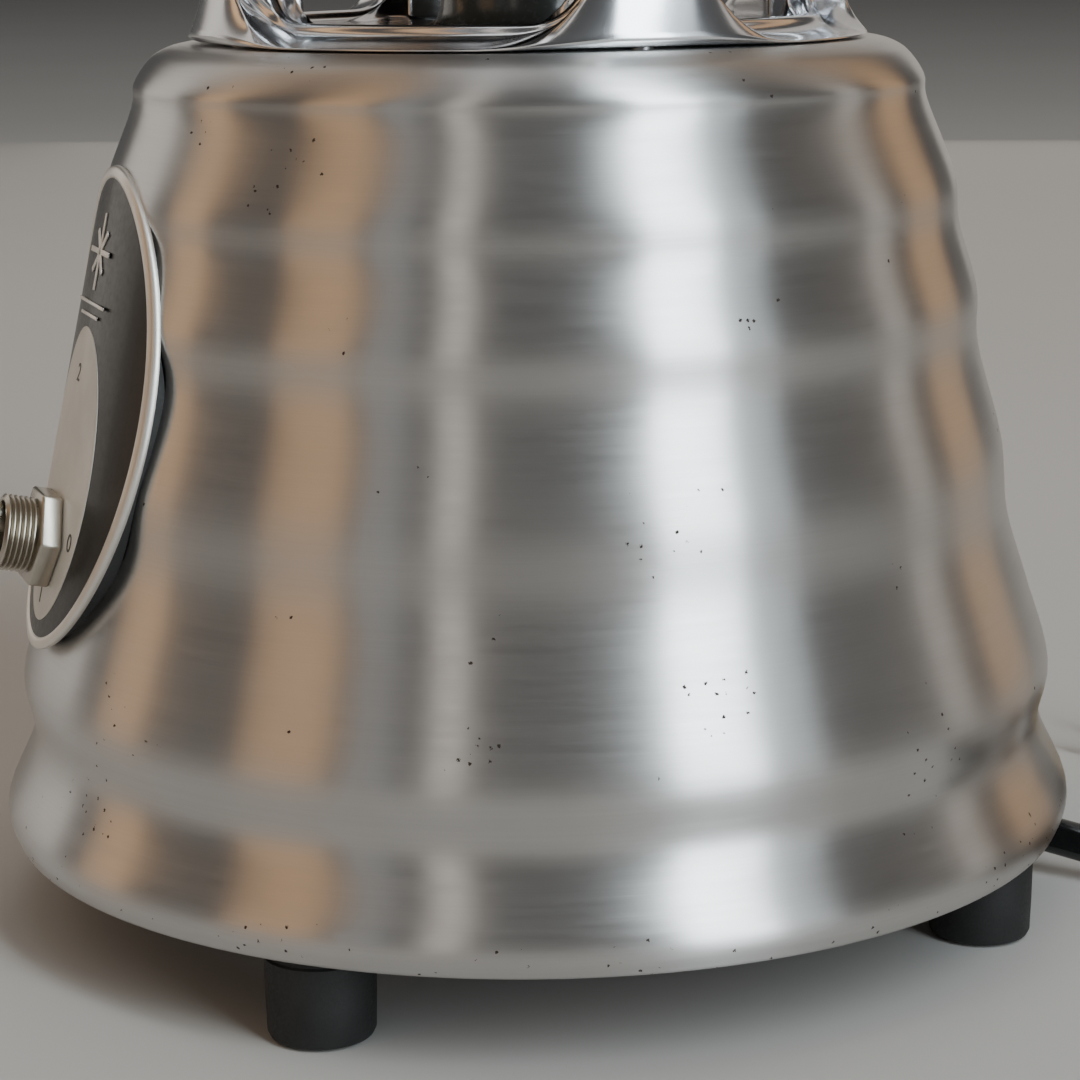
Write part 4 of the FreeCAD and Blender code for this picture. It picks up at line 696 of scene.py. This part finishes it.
BADGE_MIDDLE, BADGE_HALF_WIDTH, BADGE_HALF_HEIGHT = 85.0, 27.0, 37.0
BADGE_LOW, BADGE_LOW_RADIUS, BADGE_SLOPE = 50.0, 83.81, math.radians(12.643)


def badge_face(x, z, depth=0.0):
    """The point of the badge's curved face at this place across and up, so deep behind it."""
    radius = BADGE_LOW_RADIUS - (z - BADGE_LOW) * math.tan(BADGE_SLOPE) - depth
    return Vector((x, -math.sqrt(radius ** 2 - x ** 2), z)) * MM


def oval(rows, middle, half_width, half_height, filled, segments=120):
    """Rings round an oval on the badge's face, each at an (inset, depth), joined into a surface."""
    bm = bmesh.new()
    previous = None
    for inset, depth in rows:
        circle = bmesh.ops.create_circle(bm, cap_ends=False, segments=segments, radius=1)["verts"]
        for vertex in circle:
            vertex.co = badge_face(vertex.co.x * (half_width - inset),
                                   middle + vertex.co.y * (half_height - inset), depth)
        edges = list({edge for vertex in circle for edge in vertex.link_edges})
        if previous:
            bmesh.ops.bridge_loops(bm, edges=previous + edges)
        previous = edges
    if filled:
        bmesh.ops.holes_fill(bm, edges=previous)
    bmesh.ops.recalc_face_normals(bm, faces=bm.faces)
    if sum(face.normal.y * face.calc_area() for face in bm.faces) > 0:
        bmesh.ops.reverse_faces(bm, faces=bm.faces)
    return bm


def on_badge(bm, x, z, proud=0.02, turn=0.0):
    """Lay a flat shape, made round the origin and facing up, on the badge's face."""
    outward = Vector((0, -math.cos(BADGE_SLOPE), math.sin(BADGE_SLOPE)))
    upward = Vector((0, math.sin(BADGE_SLOPE), math.cos(BADGE_SLOPE)))
    lean = Matrix.Rotation(-math.asin(x / 80.0), 4, "Z")
    place = Matrix((Vector((1, 0, 0)), upward, outward)).transposed().to_4x4()
    return moved(bm, Matrix.Translation(badge_face(x, z, -proud)) @ lean.inverted() @ place
                 @ Matrix.Rotation(turn, 4, "Z"))


def figure(text, size):
    """A plain numeral as a thin solid, lying flat round the origin."""
    curve = bpy.data.curves.new("numeral", "FONT")
    curve.body, curve.size, curve.extrude = text, size * MM, 0.04 * MM
    curve.align_x, curve.align_y = "CENTER", "CENTER"
    holder = bpy.data.objects.new("numeral", curve)
    bm = bmesh.new()
    bm.from_mesh(bpy.data.meshes.new_from_object(holder))
    bpy.data.objects.remove(holder)
    return closed(bm)


def make_badge():
    bezel = ((0.9, 1.5), (0.15, 1.2), (0.0, 0.8), (0.06, 0.3), (0.25, 0.08), (0.6, 0.0), (1.3, 0.0),
             (1.65, 0.06), (1.85, 0.22), (1.95, 0.5))
    finished("badge_bezel", oval(bezel, BADGE_MIDDLE, BADGE_HALF_WIDTH, BADGE_HALF_HEIGHT, False),
             BADGE_SILVER, "base", ("badge_plate",), corner=50)
    field = [(1.8 + 2.5 * step, 0.3) for step in range(10)]
    finished("badge_field", oval(field, BADGE_MIDDLE, BADGE_HALF_WIDTH, BADGE_HALF_HEIGHT, True),
             ENAMEL, "base", ("badge_plate",), corner=50)
    plate = [(0.0, 0.35), (0.0, 0.2), (0.12, 0.16)] + [(1.4 * step, 0.16) for step in range(1, 10)]
    finished("badge_oval", oval(plate, 75.0, 13.8, 22.6, True), BADGE_IVORY, "base", ("badge_plate",),
             corner=50)
    emblem = bmesh.new()
    for index in range(4):
        ray = rounded_box((12.0 - 3.0 * (index % 2), 0.9, 0.3), (0, 0, 0), 0.12, 2)
        added(emblem, on_badge(ray, 0.0, 109.0, -0.2, math.pi / 4 * index))
    for height, width in ((101.2, 17.0), (99.4, 11.0)):
        added(emblem, on_badge(rounded_box((width, 0.55, 0.3), (0, 0, 0), 0.12, 2), 0.0, height, -0.2))
    finished("badge_emblem", emblem, BADGE_SILVER, "base", ("badge_plate",))
    marks = bmesh.new()
    for text, x, z in (("0", 10.2, 66.0), ("1", 0.0, 56.2), ("2", 0.0, 90.5)):
        added(marks, on_badge(figure(text, 4.0), x, z, -0.14))
    finished("switch_marks", marks, MARK_INK, "base", ("badge_plate",))


# ---- switch ----------------------------------------------------------------------------------------

SWITCH_BASE = Vector((0, -80.146, 65.0))
LEVER_PIVOT, LEVER_TILT = -0.6, math.radians(14)


def on_switch(bm, tilt=0.0, out=0.0):
    """Move a shape that was made round Z to the switch's bushing, which points out of the badge."""
    outward = Vector((0, -math.cos(BADGE_SLOPE), math.sin(BADGE_SLOPE)))
    turn = Matrix.Rotation(math.pi / 2 - BADGE_SLOPE - tilt, 4, "X")
    return moved(bm, Matrix.Translation((SWITCH_BASE + outward * out) * MM) @ turn)


def make_switch():
    nut = bmesh.new()
    across = 8.25 * MM
    bmesh.ops.create_cone(nut, cap_ends=True, segments=6, radius1=across, radius2=across,
                          depth=3.3 * MM)
    bmesh.ops.rotate(nut, verts=nut.verts, cent=(0, 0, 0), matrix=Matrix.Rotation(math.pi / 6, 3, "Z"))
    bmesh.ops.bevel(nut, geom=nut.edges[:], offset=0.45 * MM, offset_type="OFFSET", segments=3, profile=0.5,
                    affect="EDGES", material=-1)
    bmesh.ops.translate(nut, verts=nut.verts, vec=(0, 0, 1.72 * MM))
    finished("switch_hex_nut", on_switch(closed(nut)), NICKEL, "base", ("switch_nut",))
    thread = []
    pitch = 0.8
    for index in range(6):
        low = 3.5 + index * pitch
        thread += [(5.42, low), (5.92, low + pitch * 0.42), (5.92, low + pitch * 0.58)]
    outline = [(5.0, -7.4), (5.9, -7.4), (5.9, 3.2)] + thread + [(5.42, 8.32), (5.3, 8.4), (5.0, 8.4),
                                                                (4.85, 8.2), (4.85, -7.4)]
    finished("switch_threaded_bushing", on_switch(turned(outline, 72)), NICKEL, "base",
             ("switch_bushing",), corner=28)
    lever = through([(0.0, -4.55), (3.0, -3.4), (4.55, 0.0), (3.4, 3.0), (2.25, 4.7), (2.1, 7.5),
                     (2.35, 13.0),
                     (2.95, 19.0), (3.05, 21.4), (2.5, 23.2), (1.3, 24.0), (0.0, 24.15)], 4)
    finished("switch_lever", on_switch(turned(lever, 48, shut=False), LEVER_TILT, LEVER_PIVOT), NICKEL,
             "lever", ("toggle_lever",), corner=60)


# ---- feet ------------------------------------------------------------------------------------------

def make_feet():
    outline = [(0.0, 1.3), (2.6, 1.3), (3.1, 0.0), (6.9, 0.0), (7.6, 0.3), (7.95, 1.0), (8.1, 6.0),
               (8.2, 12.4),
               (7.85, 12.7), (7.85, 13.1), (8.35, 13.4), (8.4, 14.9), (3.0, 14.9), (3.0, 17.3), (4.2, 17.3),
               (3.3, 20.1), (0.0, 20.2)]
    for index in range(4):
        foot = turned(outline, 56, shut=False)
        spot = Matrix.Rotation(math.radians(45 + 90 * index), 4, "Z") @ Vector((76.8 * MM, 0, 0))
        finished(f"foot_{index + 1}", moved(foot, Matrix.Translation(spot)), RUBBER, "base",
                 (f"rubber_foot_{index + 1}",), corner=40)


# ---- jar, nut, lid and cap -------------------------------------------------------------------------

SEAT, JAR_FOOT, JAR_TOP = 150.5, 157.9, 345.9
SPOUT_REACH, SPOUT_WIDTH, SPOUT_DROP = 7.6, math.radians(15), 40.0


def make_jar_nut():
    band_low, band_high, band = 175.4, 184.2, 46.4
    outline = [(27.0, SEAT), (39.6, SEAT), (40.9, SEAT + 0.5), (41.35, SEAT + 1.6), (41.35, 172.6),
               (42.4, 173.9), (45.6, 174.3), (46.1, 174.7), (band, band_low), (band, band_high),
               (46.0, 184.7), (45.3, 185.0), (39.2, 185.0), (38.6, 184.6), (38.5, 153.6), (27.0, 153.5)]
    bm = turned(outline, 216)
    for vertex in bm.verts:
        reach = math.hypot(vertex.co.x, vertex.co.y) / MM
        if abs(reach - band) < 0.05:
            turn = math.atan2(vertex.co.y, vertex.co.x)
            dip = 0.95 * abs(math.cos(18 * turn)) ** 1.5
            vertex.co.xy *= (reach - dip) / reach
    finished("jar_nut_ring", bm, NUT_PLASTIC, "jar", ("jar_nut",), corner=40)


def jar_outline():
    outside = through([(38.0, 159.2), (38.0, 170.0), (38.0, 183.5), (39.6, 189.0), (43.4, 195.6),
                       (45.9, 201.5),
                       (46.8, 212.0), (51.4, 276.0), (56.0, 338.0)], 5)
    lip = [(56.4, 340.0), (57.6, 340.9), (58.2, 342.6), (58.1, 344.3), (57.2, 345.6), (55.6, 345.9),
           (53.9, 345.5), (52.9, 344.2)]
    inside = through([(52.4, 341.0), (47.4, 276.0), (42.8, 212.0), (41.6, 203.0), (39.0, 197.2),
                      (35.2, 190.8),
                      (34.0, 185.0), (34.0, 172.0), (34.0, 159.2)], 5)
    foot = [(34.3, 158.3), (35.2, JAR_FOOT), (36.9, JAR_FOOT), (37.7, 158.3)]
    return outside + lip + inside + foot


def swept(points, across, along, segments=20):
    """A closed oval bar along points in the YZ plane, in millimetres."""
    bm = bmesh.new()
    previous = None
    for index, (y, z) in enumerate(points):
        before, after = points[max(0, index - 1)], points[min(len(points) - 1, index + 1)]
        heading = math.atan2(after[1] - before[1], after[0] - before[0])
        circle = bmesh.ops.create_circle(bm, cap_ends=False, segments=segments, radius=1)["verts"]
        for vertex in circle:
            side, thick = vertex.co.x * across / 2, vertex.co.y * along / 2
            vertex.co = Vector((side, y - thick * math.sin(heading), z + thick * math.cos(heading))) * MM
        edges = list({edge for vertex in circle for edge in vertex.link_edges})
        if previous:
            bmesh.ops.bridge_loops(bm, edges=previous + edges)
        else:
            first = edges
        previous = edges
    bmesh.ops.holes_fill(bm, edges=first + previous)
    return closed(bm)


def make_jar():
    bm = turned(jar_outline(), 144)
    for vertex in bm.verts:
        x, y, z = (part / MM for part in vertex.co)
        off = math.atan2(x, -y)
        pull = SPOUT_REACH * math.exp(-(off / SPOUT_WIDTH) ** 2) * eased(JAR_TOP - SPOUT_DROP, JAR_TOP, z)
        reach = math.hypot(x, y)
        vertex.co.xy *= (reach + pull) / reach
    grip = through([(45.6, 216.6), (58.0, 216.2), (74.0, 216.4), (88.0, 221.0), (94.6, 236.0), (94.9, 262.0),
                    (94.9, 296.0), (91.5, 313.0), (79.0, 321.0), (66.0, 322.6), (54.3, 324.0)], 5)
    added(bm, swept(grip, 18.6, 12.6))
    for index in range(7):
        width = 16.0 if index % 2 == 0 else 9.0
        height = 222.0 + 15.0 * index
        bar = rounded_box((width, 1.0, 1.1), (0, -(47.2 + (height - 216.0) * 0.0717), height), 0.35)
        added(bm, moved(bar, Matrix.Rotation(math.radians(62), 4, "Z")))
    finished("jar_glass", bm, GLASS, "jar", ("glass_jar",), corner=55)


def make_lid():
    plug = 52.1
    outline = [(plug - 1.6, 333.2), (plug - 0.9, 333.0), (plug - 0.4, 333.6), (plug, 338.0),
               (plug - 0.9, 338.6),
               (plug - 0.9, 339.4), (plug, 340.0), (plug - 0.3, 345.9), (59.2, 345.9), (59.9, 346.3),
               (60.0, 348.0), (59.4, 349.1), (58.4, 349.5), (48.5, 349.5), (47.6, 348.9), (29.5, 348.9),
               (28.2, 349.5), (26.0, 350.4), (24.4, 352.6), (23.9, 354.9), (23.3, 355.5), (21.9, 355.5),
               (21.5, 355.0), (21.5, 341.9), (23.7, 341.9), (23.9, 345.9), (plug - 3.6, 345.9),
               (plug - 3.6, 333.2)]
    finished("lid_cover", turned(outline, 128), NUT_PLASTIC, "lid", ("jar_lid",))


def make_cap():
    outline = [(18.6, 333.9), (19.0, 333.5), (20.1, 333.5), (20.4, 333.9), (20.9, 355.5), (26.0, 355.5),
               (26.5, 356.0), (26.5, 357.3), (26.1, 358.1), (25.3, 358.5), (21.5, 358.5), (20.6, 357.8),
               (19.4, 357.0), (0.0, 356.8), (0.0, 355.2), (18.7, 355.2)]
    bm = turned(outline, 108, shut=False)
    for vertex in bm.verts:
        reach = math.hypot(vertex.co.x, vertex.co.y) / MM
        if abs(reach - 26.5) < 0.05:
            turn = math.atan2(vertex.co.y, vertex.co.x)
            vertex.co.xy *= (reach - 0.7 * abs(math.cos(9 * turn)) ** 2) / reach
    finished("filler_cap_cup", bm, NUT_PLASTIC, "cap", ("filler_cap",))


# ---- strain relief and plug ------------------------------------------------------------------------

def facing(direction, origin):
    turn = Vector(direction).to_track_quat("Z", "Y").to_matrix().to_4x4()
    return Matrix.Translation(Vector(origin) * MM) @ turn


def make_relief():
    start, end = Vector((0.0, 50.0, 9.6)), Vector(CORD_ROUTE[0])
    heading = (end - start).normalized()
    length = (end - start).length - 7.5
    outline = [(0.0, 0.0), (4.85, 0.0), (4.9, 0.8)]
    for index in range(6):
        share = (index + 0.6) / 6.6
        radius, low = 4.8 - 1.2 * share, length * share
        groove = radius - 0.45
        outline += [(radius, low), (groove, low + 0.3), (groove, low + 1.0), (radius, low + 1.3)]
    outline += [(3.55, length - 0.4), (3.3, length), (0.0, length)]
    sleeve = moved(turned(outline, 40, shut=False), facing(heading, start + heading * 7.5))
    finished("cord_sleeve", sleeve, RUBBER, "base", ("strain_relief",), corner=40)


def make_plug():
    before, start = Vector(TAIL_ROUTE[-2]), Vector(TAIL_ROUTE[-1])
    heading = Vector((start.x - before.x, start.y - before.y, 0)).normalized()
    turn = Matrix.Translation(start * MM) @ Matrix.Rotation(math.atan2(heading.y, heading.x), 4, "Z")
    body = rounded_box((25.6, 20.6, 12.6), (13.0, 0, 0), 3.6, 4)
    for vertex in body.verts:
        back = eased(14.0, 1.0, vertex.co.x / MM)
        vertex.co.y *= 1 - 0.42 * back
        vertex.co.z *= 1 - 0.25 * back
    for index in range(4):
        rib = rounded_box((1.1, 20.9 - 0.9 * (3 - index), 9.0), (9.0 + 2.6 * index, 0, 0), 0.5, 2)
        added(body, rib)
    plug = finished("plug", moved(body, turn), CORD_VINYL, "base", ("plug_body",))
    prongs = bmesh.new()
    for side in (1, -1):
        prong = rounded_box((17.6, 1.5, 6.3), (25.6 + 8.0, side * 6.35, 0), 0.5, 2)
        added(prongs, prong)
    pins = finished("plug_prongs", moved(prongs, turn), BRONZE, "base", ("plug_blades",))
    return plug, pins


make_shell()
make_collar()
make_badge()
make_switch()
make_feet()
make_jar_nut()
make_jar()
make_lid()
make_cap()
make_relief()
plug, pins = make_plug()
